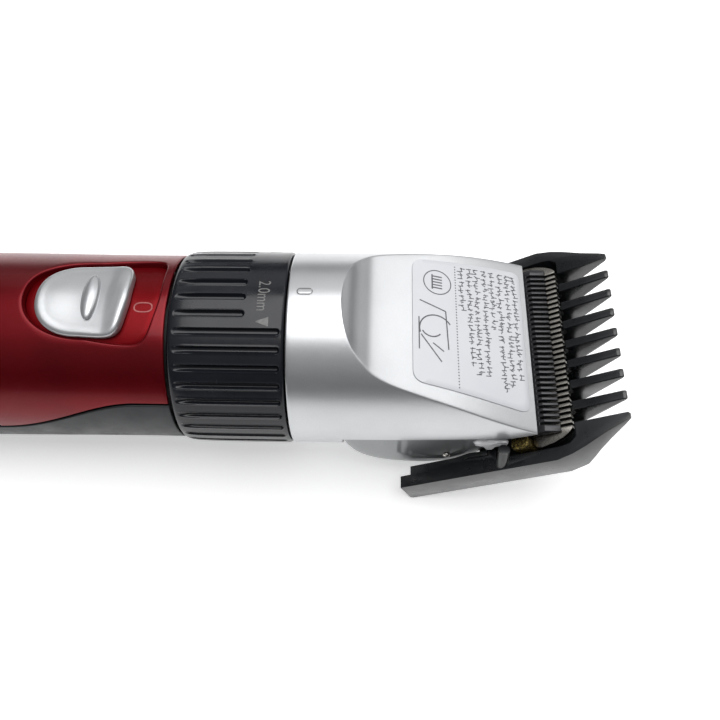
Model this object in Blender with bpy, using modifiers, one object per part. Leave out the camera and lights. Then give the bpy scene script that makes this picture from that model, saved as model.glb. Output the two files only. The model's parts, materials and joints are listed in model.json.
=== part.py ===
"""Cordless hair clipper with a turning length ring, a drop-out blade cassette and a clip-on guide comb.

Everything is laid out along the grip's axis, the tube axis: +X runs towards the blade, +Y to the left hand
side seen from behind the grip, +Z to the thumb switch.  X is 0 at the front edge of the length ring.
The cassette and the comb are laid out in blade axes, which lean back with the cutting plane and
start at the middle of the comb's throat.  Lengths are in millimetres and MM turns them into metres.
The whole clipper is then pitched so that it lies on its belly and on the comb's heels.
"""

import math

import bmesh
import bpy
from mathutils import Matrix, Vector

MM = 0.001
GAP = 0.3                     # air left between two pieces that touch

# Grip
SHELL_T = 2.2
GRIP_FRONT = -23.3
GRIP_REAR = -116.0
GRIP_STATIONS = (GRIP_FRONT, -30, -36, -42, -48, -54, -62, -72, -82, -92, -101, -108, -113, GRIP_REAR)
BELLY_SWELL = 1.1             # how far the belly stands out below the round section
BELLY_X = -80.0
BELLY_REACH = 34.0
PART_ANGLE_FRONT = 64.5       # where the upper shell ends, in degrees from the top
PART_ANGLE_REAR = 88.0
PART_GAP_ANGLE = 1.5
REST_FLAT_DEPTH = 0.55        # how much the belly's resting flat takes off

# Power switch
SLIDER_REAR = -49.3
SLIDER_FRONT = -31.0
SLIDER_HALF = 8.1
SLIDER_TRAVEL = 4.5
RECESS_REAR = -52.0
RECESS_FRONT = -25.2
RECESS_HALF = 9.7
PLATE_R = 18.3
SLIDER_R = 20.4
STEM_X = -44.0

# Length ring
RING_REAR = -22.6
RING_FRONT = -0.15
RING_R = 20.5
RING_BORE = 17.6
FLUTES = 36
SHORT_FLUTE_FROM = -10        # degrees from the top towards +Y
SHORT_FLUTE_TO = 130
FLUTE_REAR = -21.4
FLUTE_SHORT_END = -7.7
FLUTE_LONG_END = -0.9
FLUTE_W = 1.5
FLUTE_DEPTH = 0.8
RING_TURN = 120.0             # degrees between the longest and the shortest setting
CAM_R_OUT = 17.3
CAM_R_IN = 16.2
STUD_X = -12.0
STUD_R = 1.5
PUSH = 1.6                    # how far the ring pushes the pusher

# Neck and head
NECK_R_OUT = 15.9
NECK_R_IN = 14.6
HEAD_R = 20.4
HEAD_T = 1.8
COLLAR_FRONT = 10.6
HEAD_FRONT = 49.9
FACE = ((10.7, 20.3), (12.7, 18.1), (14.8, 16.5), (16.8, 15.2), (24.9, 12.4), (33.2, 9.7), (49.9, 2.7))
FACE_INSET = (-0.9, -1.6)     # moves the face's line inwards by the wall
SIDE_EDGE = ((10.6, -2.5), (23.0, -2.0), (34.0, -1.0), (45.0, 0.0), (50.5, 2.6))
CHIN_HALF = 19.6
CHIN = ((10.9, 20.3, 2.2), (12.5, 20.6, 3.4), (16.3, 21.0, 6.0), (21.0, 21.0, 9.0), (28.0, 21.0, 11.0),
        (33.0, 19.5, 11.0), (36.2, 17.6, 11.0), (38.4, 15.2, 11.0), (40.6, 10.4, 11.0))
LABEL_REAR = 25.4
LABEL_FRONT = 48.0
LABEL_HALF_REAR = 12.6
LABEL_HALF_FRONT = 17.0
LABEL_T = 0.25
LABEL_CORNER = 2.2

# Motor
MOTOR_R = 9.5
MOTOR_Z = -2.0
MOTOR_REAR = -2.0
MOTOR_FRONT = 24.0
CRANK = 1.0                   # offset of the crank pin
PIN_R = 1.1
PIN_END = 39.8

# Cutting plane: where its middle point is, and how far the plane leans back
TIP_X = 58.5
TIP_Z = 3.9
BLADE_LEAN = math.radians(34.0)
HINGE_X = 35.0
HINGE_Z = -12.5
STROKE = 1.0                  # half of its sideways stroke

# Blades, in blade axes (u forwards, v sideways, w up out of the plane)
FIXED_T = 1.3
FIXED_REAR = -20.0
FIXED_TIP = -1.9
FIXED_SLOTS = 30
FIXED_PITCH = 1.24
FIXED_SLOT_W = 0.62
FIXED_SLOT_END = -7.2
MOVING_TIP = -4.1
MOVING_SLOT_END = -7.7
MOVING_REAR = -15.0
MOVING_TOP = 2.4
MOVING_HALF = 19.4
MOVING_TEETH = 31
MOVING_PITCH = 1.22
DRIVER_REAR = -21.1
DRIVER_FRONT = -12.6
BLADE_SCREW_U = -16.5
BLADE_SCREW_V = 15.5
ARM_HALF = 17.4               # the blade frame's arms pass inside the chin
CLIP_IN = 19.9
CLIP_OUT = 20.8
CLIP_SIDE = ((2.6, 10.2), (3.2, 9.0), (5.0, 8.4), (5.6, 6.6), (7.2, 6.6), (7.6, 8.4), (9.9, 9.2), (9.9, 11.1),
             (3.4, 11.1))

# Guide comb, in blade axes
COMB_TEETH = 9
COMB_PITCH = 4.7
COMB_TOOTH_W = 1.9
COMB_HALF = 25.0
COMB_ARM_IN = 22.3
COMB_DEPTH = 8.0
COMB_REAR = -44.6             # rear end of the arms at their heels; their tops end COMB_RAKE further forwards
COMB_RAKE = 2.1
COMB_FLOOR = 1.8
COMB_HEEL_FLAT = 0.55         # how much the resting flat takes off the heel
THROAT = -1.3                 # where the teeth start, just in front of the blades
FLOOR_REAR = -25.5
RAIL_REAR = -40.0             # a rail inside each arm runs along the chin
RAIL_IN = 20.3
RAIL_FRONT = -18.8
RAIL_GUARD = ((-30.0, -1.6), (-20.6, -1.6), (-20.6, 0.4), (-24.5, 1.0), (-30.0, -0.6))
POST_FOOT = (-18.2, 23.75, -1.2)      # the clip posts rise from the arms and lean in towards the head
POST_HEAD = (-15.0, 22.35, 4.2)
POST_R = 1.2
FIN_ROUND = 0.55

COLOURS = {
    "red": ((0.36, 0.01, 0.02), 0.22, 0.6),
    "charcoal": ((0.05, 0.055, 0.06), 0.35, 0.0),
    "black_gloss": ((0.012, 0.013, 0.016), 0.18, 0.0),
    "silver_paint": ((0.62, 0.63, 0.64), 0.35, 0.6),
    "steel": ((0.55, 0.55, 0.53), 0.28, 1.0),
    "ceramic_black": ((0.015, 0.015, 0.017), 0.2, 0.0),
    "brass": ((0.42, 0.31, 0.10), 0.4, 1.0),
    "clear": ((0.8, 0.82, 0.84), 0.08, 0.0),
    "label": ((0.72, 0.75, 0.80), 0.3, 0.0),
    "board": ((0.03, 0.20, 0.08), 0.5, 0.0),
    "nickel": ((0.60, 0.58, 0.54), 0.3, 1.0),
    "nylon_white": ((0.80, 0.80, 0.76), 0.45, 0.0),
    "cell_wrap": ((0.05, 0.16, 0.45), 0.4, 0.0),
    "led": ((0.70, 0.75, 0.70), 0.1, 0.0),
    "wire_red": ((0.45, 0.02, 0.02), 0.4, 0.0),
}


# ---------------------------------------------------------------- scene, materials and objects

for old in list(bpy.data.objects):
    bpy.data.objects.remove(old, do_unlink=True)

PARTS = bpy.data.collections.new("hair_clipper")
CUTTERS = bpy.data.collections.new("cutters")
bpy.context.scene.collection.children.link(PARTS)
bpy.context.scene.collection.children.link(CUTTERS)


def material(name):
    found = bpy.data.materials.get(name)
    if found:
        return found
    colour, roughness, metallic = COLOURS[name]
    made = bpy.data.materials.new(name)
    made.use_nodes = True
    shader = made.node_tree.nodes["Principled BSDF"]
    shader.inputs["Base Color"].default_value = (*colour, 1.0)
    shader.inputs["Roughness"].default_value = roughness
    shader.inputs["Metallic"].default_value = metallic
    return made


def empty(name, parent=None, at=(0, 0, 0), lean=0.0):
    made = bpy.data.objects.new(name, None)
    PARTS.objects.link(made)
    made.parent = parent
    made.location = Vector(at) * MM
    made.rotation_euler = (0, lean, 0)
    return made


def add(name, mesh, paint, parent):
    """A part. Its round faces are shaded smooth and its edges stay sharp."""
    made = bpy.data.objects.new(name, mesh)
    PARTS.objects.link(made)
    made.parent = parent
    mesh.materials.clear()
    mesh.materials.append(material(paint))
    mesh.shade_smooth()
    mesh.set_sharp_from_angle(angle=math.radians(35))
    return made


def helper(mesh, parent, name="cutter"):
    made = bpy.data.objects.new(name, mesh)
    CUTTERS.objects.link(made)
    made.parent = parent
    made.hide_render = True
    made.display_type = "WIRE"
    return made


def boolean(target, mesh, operation="DIFFERENCE"):
    tool = helper(mesh, target.parent, f"{target.name}.{operation.lower()}")
    step = target.modifiers.new(operation.lower(), "BOOLEAN")
    step.operation = operation
    step.object = tool
    return tool


def mesh_of(bm):
    bmesh.ops.recalc_face_normals(bm, faces=bm.faces)
    mesh = bpy.data.meshes.new("mesh")
    bm.to_mesh(mesh)
    bm.free()
    return mesh


# ---------------------------------------------------------------- shapes, all given in millimetres

def box(low, high):
    low, high = Vector(low) * MM, Vector(high) * MM
    bm = bmesh.new()
    size = high - low
    place = Matrix.Translation((low + high) / 2) @ Matrix.Diagonal((*size, 1))
    bmesh.ops.create_cube(bm, size=1, matrix=place)
    return mesh_of(bm)


TURN = {
    "X": Matrix.Rotation(math.radians(90), 4, "Y"),
    "Y": Matrix.Rotation(math.radians(-90), 4, "X"),
    "Z": Matrix.Identity(4),
}


def rod(radius, start, length, axis="X", sides=24, end_radius=None):
    """A cylinder, or a cone, that starts at a point and runs along an axis."""
    bm = bmesh.new()
    half = Matrix.Translation((0, 0, length / 2 * MM))
    place = Matrix.Translation(Vector(start) * MM) @ TURN[axis] @ half
    top = radius if end_radius is None else end_radius
    bmesh.ops.create_cone(bm, cap_ends=True, segments=sides, radius1=radius * MM, radius2=top * MM,
                          depth=length * MM, matrix=place)
    return mesh_of(bm)


def outline_plate(points, low, high, plane="XY"):
    """A flat outline with a thickness, from low to high along the plane's normal."""
    curve = bpy.data.curves.new("outline", "CURVE")
    curve.dimensions = "2D"
    curve.fill_mode = "BOTH"
    curve.extrude = (high - low) / 2 * MM
    spline = curve.splines.new("POLY")
    spline.points.add(len(points) - 1)
    for slot, (a, b) in zip(spline.points, points):
        slot.co = (a * MM, b * MM, 0, 1)
    spline.use_cyclic_u = True
    guide = bpy.data.objects.new("outline", curve)
    CUTTERS.objects.link(guide)
    graph = bpy.context.evaluated_depsgraph_get()
    mesh = bpy.data.meshes.new_from_object(guide.evaluated_get(graph))
    bpy.data.objects.remove(guide, do_unlink=True)
    bm = bmesh.new()
    bm.from_mesh(mesh)
    bmesh.ops.remove_doubles(bm, verts=bm.verts, dist=1e-6)
    middle = (low + high) / 2 * MM
    stand = Matrix.Identity(4)
    shift = Matrix.Translation((0, 0, middle))
    if plane == "XZ":
        stand = Matrix.Rotation(math.radians(90), 4, "X")
        shift = Matrix.Translation((0, middle, 0))
    bmesh.ops.transform(bm, matrix=shift @ stand, verts=bm.verts)
    return mesh_of(bm)


def turned(name, profile, paint, parent, steps=48, closed=True, at=(0, 0, 0)):
    """A turned piece along X. The profile is (along, radius), and its outer side runs from front to rear."""
    bm = bmesh.new()
    ring = [bm.verts.new((radius * MM, 0, along * MM)) for along, radius in profile]
    for first, second in zip(ring, ring[1:]):
        bm.edges.new((first, second))
    if closed:
        bm.edges.new((ring[-1], ring[0]))
    mesh = bpy.data.meshes.new("profile")
    bm.to_mesh(mesh)
    bm.free()
    made = add(name, mesh, paint, parent)
    made.location = Vector(at) * MM
    made.rotation_euler = (0, math.radians(90), 0)
    screw = made.modifiers.new("turn", "SCREW")
    screw.steps = steps
    screw.render_steps = steps
    screw.use_merge_vertices = True
    screw.merge_threshold = 0.00001
    screw.use_smooth_shade = True
    return made


def wire(name, points, radius, paint, parent):
    curve = bpy.data.curves.new(name, "CURVE")
    curve.dimensions = "3D"
    curve.bevel_depth = radius * MM
    curve.bevel_resolution = 2
    curve.use_fill_caps = True
    spline = curve.splines.new("POLY")
    spline.points.add(len(points) - 1)
    for slot, point in zip(spline.points, points):
        slot.co = (*(Vector(point) * MM), 1)
    made = bpy.data.objects.new(name, curve)
    PARTS.objects.link(made)
    made.parent = parent
    curve.materials.append(material(paint))
    return made


def merged(*meshes):
    """Several bodies in one mesh, for cutters that don't meet."""
    bm = bmesh.new()
    for mesh in meshes:
        bm.from_mesh(mesh)
    whole = bpy.data.meshes.new("mesh")
    bm.to_mesh(whole)
    bm.free()
    return whole


def sheet(rows):
    """An open surface through rows of points."""
    bm = bmesh.new()
    grid = [[bm.verts.new(Vector(point) * MM) for point in row] for row in rows]
    for low, high in zip(grid, grid[1:]):
        for a, b, c, d in zip(low, low[1:], high[1:], high):
            bm.faces.new((a, b, c, d))
    mesh = bpy.data.meshes.new("sheet")
    bm.to_mesh(mesh)
    bm.free()
    return mesh


def shell(made, thickness):
    """Thickens an open surface inwards."""
    step = made.modifiers.new("wall", "SOLIDIFY")
    step.thickness = thickness * MM
    step.offset = -1.0
    step.use_even_offset = True
    return made


def smooth_step(t):
    t = min(1.0, max(0.0, t))
    return t * t * (3 - 2 * t)


# ---------------------------------------------------------------- frames

rest_frame = empty("rest_frame")
tube = empty("tube_axis", rest_frame)
motor_axis = empty("motor_axis", tube, (0, 0, MOTOR_Z))
cassette_hinge = empty("cassette_hinge", tube, (HINGE_X, 0, HINGE_Z))
blade_axes = empty("blade_axes", cassette_hinge, (TIP_X - HINGE_X, 0, TIP_Z - HINGE_Z), -BLADE_LEAN)


# ---------------------------------------------------------------- grip

def grip_radius(x):
    """The grip's radius: straight behind the ring, then a soft taper and a rounded tail."""
    taper = 1.0 * smooth_step((-70 - x) / 40)
    tail = 4.2 * max(0.0, (-97 - x) / 19) ** 2
    return 19.6 + 0.2 * smooth_step((-30 - x) / 30) - taper - tail


def grip_point(x, degrees):
    """A point on the grip, at an angle from the top towards +Y."""
    angle = math.radians(degrees)
    near = max(0.0, 1 - ((x - BELLY_X) / BELLY_REACH) ** 2)
    swell = BELLY_SWELL * near * near * max(0.0, -math.cos(angle)) ** 2
    radius = grip_radius(x) + swell
    return (x, radius * math.sin(angle), radius * math.cos(angle))


def parting_angle(x):
    rise = PART_ANGLE_REAR - PART_ANGLE_FRONT
    return PART_ANGLE_FRONT + rise * smooth_step((-30 - x) / 30)


def grip_sheet(first, last, count):
    """Rows of points from one angle to another, each angle given as a function of x."""
    rows = []
    for x in GRIP_STATIONS:
        start, end = first(x), last(x)
        rows.append([grip_point(x, start + (end - start) * i / count) for i in range(count + 1)])
    return sheet(rows)


def rounded_outline(rear, front, half, corner, rear_power=2.6, steps=7):
    """A D in plan: a full round rear, straight sides and a flat front with rounded corners."""
    nose = []
    for i in range(steps + 1):
        angle = math.radians(90 * i / steps)
        nose.append((front - corner + corner * math.sin(angle), half - corner + corner * math.cos(angle)))
    reach = half * 0.95
    back = []
    for i in range(steps + 1):
        angle = math.radians(90 * i / steps)
        along = abs(math.cos(angle)) ** (2 / rear_power)
        across = abs(math.sin(angle)) ** (2 / rear_power)
        back.append((rear + reach - reach * along, half * across))
    upper = back + nose
    lower = [(x, -y) for x, y in reversed(upper) if y > 1e-6]
    return upper + lower


def build_grip():
    upper = add("upper_shell", grip_sheet(lambda x: -parting_angle(x), parting_angle, 20), "red", tube)
    shell(upper, SHELL_T)
    recess = rounded_outline(RECESS_REAR, RECESS_FRONT, RECESS_HALF, 2.6)
    boolean(upper, outline_plate(recess, 12, 25))
    boolean(upper, rod(1.9, (-98, 0, 12), 12, "Z", 20))

    def low_start(x):
        return parting_angle(x) + PART_GAP_ANGLE

    lower = add("lower_shell", grip_sheet(low_start, lambda x: 360 - low_start(x), 24), "charcoal", tube)
    shell(lower, SHELL_T)
    holes = merged(*[rod(2.7, (x, 0, -24), 12, "Z", 20) for x in (-30, -104)])
    boolean(lower, holes)
    return lower


def build_switch():
    slab = outline_plate(rounded_outline(RECESS_REAR + GAP, RECESS_FRONT - GAP, RECESS_HALF - GAP, 2.3), 8, 24)
    plate = turned("switch_plate", ((-20, PLATE_R), (-60, PLATE_R), (-60, PLATE_R - 1.2), (-20, PLATE_R - 1.2)),
                   "red", tube, 64)
    boolean(plate, slab, "INTERSECT")
    boolean(plate, box((STEM_X - 1.9, -1.8, 12), (STEM_X + 1.9 + SLIDER_TRAVEL, 1.8, 22)))

    low_r = PLATE_R + GAP
    slider = turned("power_slider", ((-20, SLIDER_R), (-60, SLIDER_R), (-60, low_r), (-20, low_r)),
                    "silver_paint", tube, 72)
    boolean(slider, outline_plate(rounded_outline(SLIDER_REAR, SLIDER_FRONT, SLIDER_HALF, 1.6), 10, 24), "INTERSECT")
    boolean(slider, box((STEM_X - 1.5, -1.4, 12.8), (STEM_X + 1.5, 1.4, low_r + 0.8)), "UNION")
    ridge = bmesh.new()
    lens = Matrix.Translation(Vector((-38.0, 0, SLIDER_R - 0.35)) * MM) @ Matrix.Diagonal((2.0, 5.0, 1.1, 1))
    bmesh.ops.create_uvsphere(ridge, u_segments=16, v_segments=8, radius=MM, matrix=lens)
    boolean(slider, mesh_of(ridge), "UNION")


def build_tail():
    turned("tail_cap", ((-112.5, 12.2), (-115.7, 12.2), (-115.7, 12.8), (-116.3, 12.8), (-116.3, 14.3),
                        (-118.2, 13.2), (-119.6, 11.6), (-120.4, 9.4), (-120.4, 3.6), (-115.6, 3.6),
                        (-115.6, 5.4), (-112.5, 5.4)), "charcoal", tube, 40)
    turned("charging_socket", ((-104.0, 0), (-104.0, 5.0), (-115.2, 5.0), (-115.2, 2.7), (-107.0, 2.7),
                               (-107.0, 0)), "black_gloss", tube, 24, closed=False)
    add("socket_pin", rod(0.8, (-114.8, 0, 0), 7.5, "X", 12), "nickel", tube)
    turned("status_led", ((19.3, 0), (19.1, 1.0), (18.6, 1.6), (15.0, 1.6), (15.0, 2.4), (14.0, 2.4), (14.0, 0)),
           "led", tube, 20, closed=False, at=(-98, 0, 0)).rotation_euler = (0, 0, 0)


def build_inside():
    add("circuit_board", box((-66, -8.5, 7.6), (-28, 8.5, 8.8)), "board", tube)
    add("switch_body", box((-47, -3.2, 9.1), (-36, 3.2, 12.3)), "nickel", tube)
    turned("battery_cell", ((-40.4, 0), (-40.4, 2.6), (-41.4, 2.6), (-41.4, 7.2), (-90, 7.2), (-90, 0)),
           "cell_wrap", tube, 32, closed=False, at=(0, 0, -5))
    for name, x in (("battery_tab_front", -39.7), ("battery_tab_rear", -90.8)):
        add(name, box((x - 0.2, -3, -9), (x + 0.2, 3, -1)), "nickel", tube)
    cradle = turned("battery_cradle", ((-38, 9.0), (-93, 9.0), (-93, 7.6), (-38, 7.6)), "charcoal", tube, 32,
                    at=(0, 0, -5))
    boolean(cradle, box((-100, -12, -5), (-30, 12, 12)))
    boolean(cradle, box((-107, -4.5, -14.9), (-92.5, 4.5, -9.5)), "UNION")
    boolean(cradle, rod(1.5, (-104, 0, -20), 15, "Z", 16))
    for name, x, depth in (("casing_screw_front", -30, 16.9), ("casing_screw_rear", -104, 15.2)):
        screw = add(name, rod(2.3, (x, 0, -depth - 1.5), 1.2, "Z", 20), "steel", tube)
        boolean(screw, rod(1.2, (x, 0, -depth - 0.4), depth - 10.4, "Z", 12), "UNION")
    for name, side, paint in (("motor_lead_near", -1, "wire_red"), ("motor_lead_far", 1, "charcoal")):
        route = [(-29, 7.2 * side, 6.6), (-25, 7.4 * side, 4.6), (-20, 7.0 * side, 1.4),
                 (-14, 6.6 * side, -1.0), (-9, 6.2 * side, -2.0), (-6.9, 6.0 * side, -2.0)]
        wire(name, route, 0.6, paint, tube)


# ---------------------------------------------------------------- neck, length ring and pusher

def build_neck():
    neck = turned("neck_tube", ((6, NECK_R_OUT), (-23.6, NECK_R_OUT), (-23.6, 16.9), (-34, 16.9),
                                (-34, NECK_R_IN), (6, NECK_R_IN)), "nylon_white", tube, 48)
    boolean(neck, box((STUD_X - 2.1, -1.9, 10), (STUD_X + PUSH + 2.1, 1.9, 18)))
    boolean(neck, rod(1.5, (-30, 0, -18), 5, "Z", 16))
    arc = []
    for i in range(13):
        angle = math.radians(150 + 5 * i)
        bump = 0.35 * math.exp(-((i - 6) / 1.2) ** 2)
        arc.append((-21.4, (16.6 + bump) * math.sin(angle), (16.6 + bump) * math.cos(angle)))
    wire("ring_detent_spring", arc, 0.3, "steel", tube)


def flute_cutters():
    cutters = []
    for i in range(FLUTES):
        degrees = 360 * i / FLUTES
        short = (degrees - SHORT_FLUTE_FROM) % 360 <= SHORT_FLUTE_TO - SHORT_FLUTE_FROM
        end = FLUTE_SHORT_END if short else FLUTE_LONG_END
        flute = box((FLUTE_REAR, -FLUTE_W / 2, RING_R - FLUTE_DEPTH), (end, FLUTE_W / 2, RING_R + 2))
        flute.transform(Matrix.Rotation(math.radians(-degrees), 4, "X"))
        cutters.append(flute)
    return merged(*cutters)


def cam_slot():
    """The cam sleeve's helical slot, which carries the stud forwards as the ring turns."""
    first, last, steps = -10.0, RING_TURN + 10.0, 20
    half = STUD_R + GAP
    start_x = STUD_X + PUSH * first / RING_TURN
    bm = bmesh.new()
    corners = [(start_x - half, CAM_R_IN - 0.3), (start_x + half, CAM_R_IN - 0.3),
               (start_x + half, CAM_R_OUT + 0.4), (start_x - half, CAM_R_OUT + 0.4)]
    angle = math.radians(first)
    face = bm.faces.new([bm.verts.new(Vector((x, r * math.sin(angle), r * math.cos(angle))) * MM)
                         for x, r in corners])
    step_x = PUSH * (last - first) / RING_TURN / steps
    bmesh.ops.spin(bm, geom=[face, *face.edges, *face.verts], cent=(0, 0, 0), axis=(-1, 0, 0),
                   dvec=(step_x * MM, 0, 0), angle=math.radians(last - first), steps=steps)
    bmesh.ops.remove_doubles(bm, verts=bm.verts, dist=1e-7)
    bmesh.ops.holes_fill(bm, edges=bm.edges)
    return mesh_of(bm)


def build_ring():
    ring = turned("adjusting_ring", ((RING_FRONT, 19.9), (-0.6, RING_R), (-19.5, RING_R - 0.1), (-22.2, 20.1),
                                     (RING_REAR, 19.7), (RING_REAR, RING_BORE), (RING_FRONT, RING_BORE)),
                  "black_gloss", tube, 72)
    boolean(ring, flute_cutters())
    cam = turned("ring_cam", ((-3, CAM_R_OUT), (-20, CAM_R_OUT), (-20, CAM_R_IN), (-3, CAM_R_IN)),
                 "nylon_white", tube, 48)
    boolean(cam, cam_slot())


def build_pusher():
    """A bent bar from the ring's cam, over the motor, to the cassette's setting slide."""
    side = ((-16, 9.2), (10, 9.2), (24, 8.4), (33, 5.0), (41.0, 0.8), (41.6, -0.7), (42.3, -0.7),
            (41.4, 2.0), (40.4, 3.0), (33.4, 6.4), (24.4, 9.9), (10, 10.8), (-16, 10.8))
    pusher = add("pusher", outline_plate(side, -2.4, 2.4, "XZ"), "nylon_white", tube)
    boolean(pusher, rod(STUD_R, (STUD_X, 0, 10.0), 7.2, "Z", 20), "UNION")


# ---------------------------------------------------------------- head

def side_view(points, past, rise):
    """The region above a line of (x, z) points, as an outline."""
    last = points[-1]
    slope = (last[1] - points[-2][1]) / (last[0] - points[-2][0])
    end = (last[0] + past, last[1] + slope * past)
    return [(points[0][0], rise), *points, end, (end[0], rise)]


def build_head():
    head = turned("head_shell", ((HEAD_FRONT, HEAD_R), (0.5, HEAD_R), (0.15, HEAD_R - 0.35),
                                 (0.15, HEAD_R - HEAD_T), (HEAD_FRONT, HEAD_R - HEAD_T)), "silver_paint", tube, 72)
    # The wall under the sloping face is joined first, a little too high, and then trimmed with the tube.
    inner_face = [(x + FACE_INSET[0], z + FACE_INSET[1]) for x, z in FACE]
    raised = [(FACE[0][0] + 0.2, FACE[0][1] + 0.6)] + [(x, z + 1.0) for x, z in FACE[1:]]
    wall = add("face_wall", outline_plate([*raised, *reversed(inner_face)], -HEAD_R, HEAD_R, "XZ"),
               "silver_paint", tube)
    boolean(wall, rod(HEAD_R - 0.6, (-1, 0, 0), HEAD_FRONT + 1, "X", 72), "INTERSECT")
    settle_into_mesh(wall)
    boolean(head, wall.data, "UNION")
    bpy.data.objects.remove(wall, do_unlink=True)
    boolean(head, outline_plate(side_view(FACE, 4, 26), -26, 26, "XZ"))
    under = [(COLLAR_FRONT, -26), *SIDE_EDGE, (56, 2.7), (56, -26)]
    boolean(head, outline_plate(under, -26, 26, "XZ"))
    relief = [tube_point(-16, 3.1), tube_point(-2, 3.1), tube_point(-2, -6), tube_point(-16, -6)]
    boolean(head, outline_plate(relief, -19.6, 19.6, "XZ"))
    boolean(head, rod(0.9, (3.4, 1.75, 18), 4, "Z", 12))

    rows = []
    for x, depth, power in CHIN:
        top = edge_height(x) - GAP
        rows.append([chin_point(x, depth, power, top, 1 - i / 24) for i in range(25)])
    chin = add("head_lower_housing", sheet(rows), "silver_paint", tube)
    shell(chin, HEAD_T)
    boolean(chin, box((34.4, -16.5, -26), (44, 16.5, 0)))


def settle_into_mesh(made):
    """Gives an object the mesh that its modifiers make, and drops them."""
    graph = bpy.context.evaluated_depsgraph_get()
    made.data = bpy.data.meshes.new_from_object(made.evaluated_get(graph))
    made.modifiers.clear()


def edge_height(x):
    """The height of the head shell's lower edge."""
    for (x0, z0), (x1, z1) in zip(SIDE_EDGE, SIDE_EDGE[1:]):
        if x <= x1:
            return z0 + (z1 - z0) * (x - x0) / (x1 - x0)
    return SIDE_EDGE[-1][1]


def chin_point(x, depth, power, top, t):
    """A point on the chin's section, a superellipse below the head shell's edge, for t from 0 to 1."""
    start = math.asin(min(1.0, (-top / depth) ** (power / 2)))
    angle = start + (math.pi - 2 * start) * t
    across = abs(math.cos(angle)) ** (2 / power) * CHIN_HALF
    down = abs(math.sin(angle)) ** (2 / power) * depth
    return (x, across if math.cos(angle) >= 0 else -across, -down)


def build_label():
    line = [point for point in FACE if point[0] > LABEL_REAR - 1]
    low = [(x, z + 0.1) for x, z in line]
    high = [(x, z + 0.1 + LABEL_T) for x, z in reversed(line)]
    label = add("face_label", outline_plate(low + high, -20, 20, "XZ"), "label", tube)
    corners = ((LABEL_REAR, -LABEL_HALF_REAR), (LABEL_FRONT, -LABEL_HALF_FRONT),
               (LABEL_FRONT, LABEL_HALF_FRONT), (LABEL_REAR, LABEL_HALF_REAR))
    boolean(label, outline_plate(round_corners(corners, LABEL_CORNER), -5, 30), "INTERSECT")


def round_corners(corners, radius, steps=5):
    """An outline with each corner replaced by an arc-like curve."""
    points = []
    count = len(corners)
    for i, here in enumerate(corners):
        here = Vector(here)
        before = (Vector(corners[i - 1]) - here).normalized() * radius
        after = (Vector(corners[(i + 1) % count]) - here).normalized() * radius
        for k in range(steps + 1):
            t = k / steps
            points.append(tuple(here + before * (1 - t) ** 2 + after * t ** 2))
    return points


# ---------------------------------------------------------------- motor

def build_motor():
    can = turned("motor_can", ((MOTOR_FRONT, 1.5), (MOTOR_FRONT, MOTOR_R), (MOTOR_REAR, MOTOR_R),
                               (MOTOR_REAR, 1.5)), "nickel", motor_axis, 32)
    boolean(can, merged(*[rod(1.0, (MOTOR_FRONT - 3, y, 0), 6, "X", 12) for y in (-6, 6)]))
    turned("motor_end_bell", ((-5.4, 0), (-5.4, 1.5), (-2.3, 1.5), (-2.3, 9.0), (-6.2, 9.0), (-6.2, 0)),
           "nylon_white", motor_axis, 32, closed=False)
    outline = round_corners(((-12, -12), (12, -12), (12, 4.2), (3.2, 4.2), (3.2, 7), (-3.2, 7),
                             (-3.2, 4.2), (-12, 4.2)), 0.8, 2)
    mount = outline_plate(outline, 24.4, 26.4)
    mount.transform(Matrix(((0, 0, 1, 0), (1, 0, 0, 0), (0, 1, 0, 0), (0, 0, 0, 1))))
    plate = add("motor_mount", mount, "charcoal", motor_axis)
    holes = [rod(1.3, (23, y, 0), 6, "X", 12) for y in (-6, 6)]
    boolean(plate, merged(rod(2.0, (23, 0, 0), 6, "X", 16), *holes))
    for name, y in (("motor_screw_near", -6), ("motor_screw_far", 6)):
        screw = add(name, rod(1.9, (26.7, y, 0), 1.2, "X", 16), "steel", motor_axis)
        boolean(screw, rod(0.7, (21.6, y, 0), 5.6, "X", 12), "UNION")
    add("motor_shaft", rod(1.0, (-5.0, 0, 0), 38.4, "X", 16), "steel", motor_axis)
    cam = turned("eccentric_cam", ((34.0, 0), (34.0, 4.2), (30.4, 4.2), (30.4, 1.3), (33.7, 1.3), (33.7, 0)),
                 "nylon_white", motor_axis, 24, closed=False)
    boolean(cam, rod(PIN_R, (33.8, 0, CRANK), PIN_END - 33.8, "X", 16), "UNION")


# ---------------------------------------------------------------- blade cassette, in blade axes

def mirrored(points):
    """A half outline from the front centre round to the rear centre, closed by its mirror image."""
    return points + [(u, -v) for u, v in reversed(points)]


def comb_slots(half_count, pitch, width, root, tip, pointed):
    """The edge of a toothed blade from its middle outwards, with a slot between teeth."""
    points = []
    for i in range(half_count):
        middle = (i + 0.5) * pitch
        low, high = middle - width / 2, middle + width / 2
        points += [(tip - pointed, low), (root, low), (root, high), (tip - pointed, high)]
    return points


def blade_screw_holes():
    return merged(*[rod(1.4, (BLADE_SCREW_U, v, -3), 5.4, "Z", 16) for v in (-BLADE_SCREW_V, BLADE_SCREW_V)])


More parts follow.
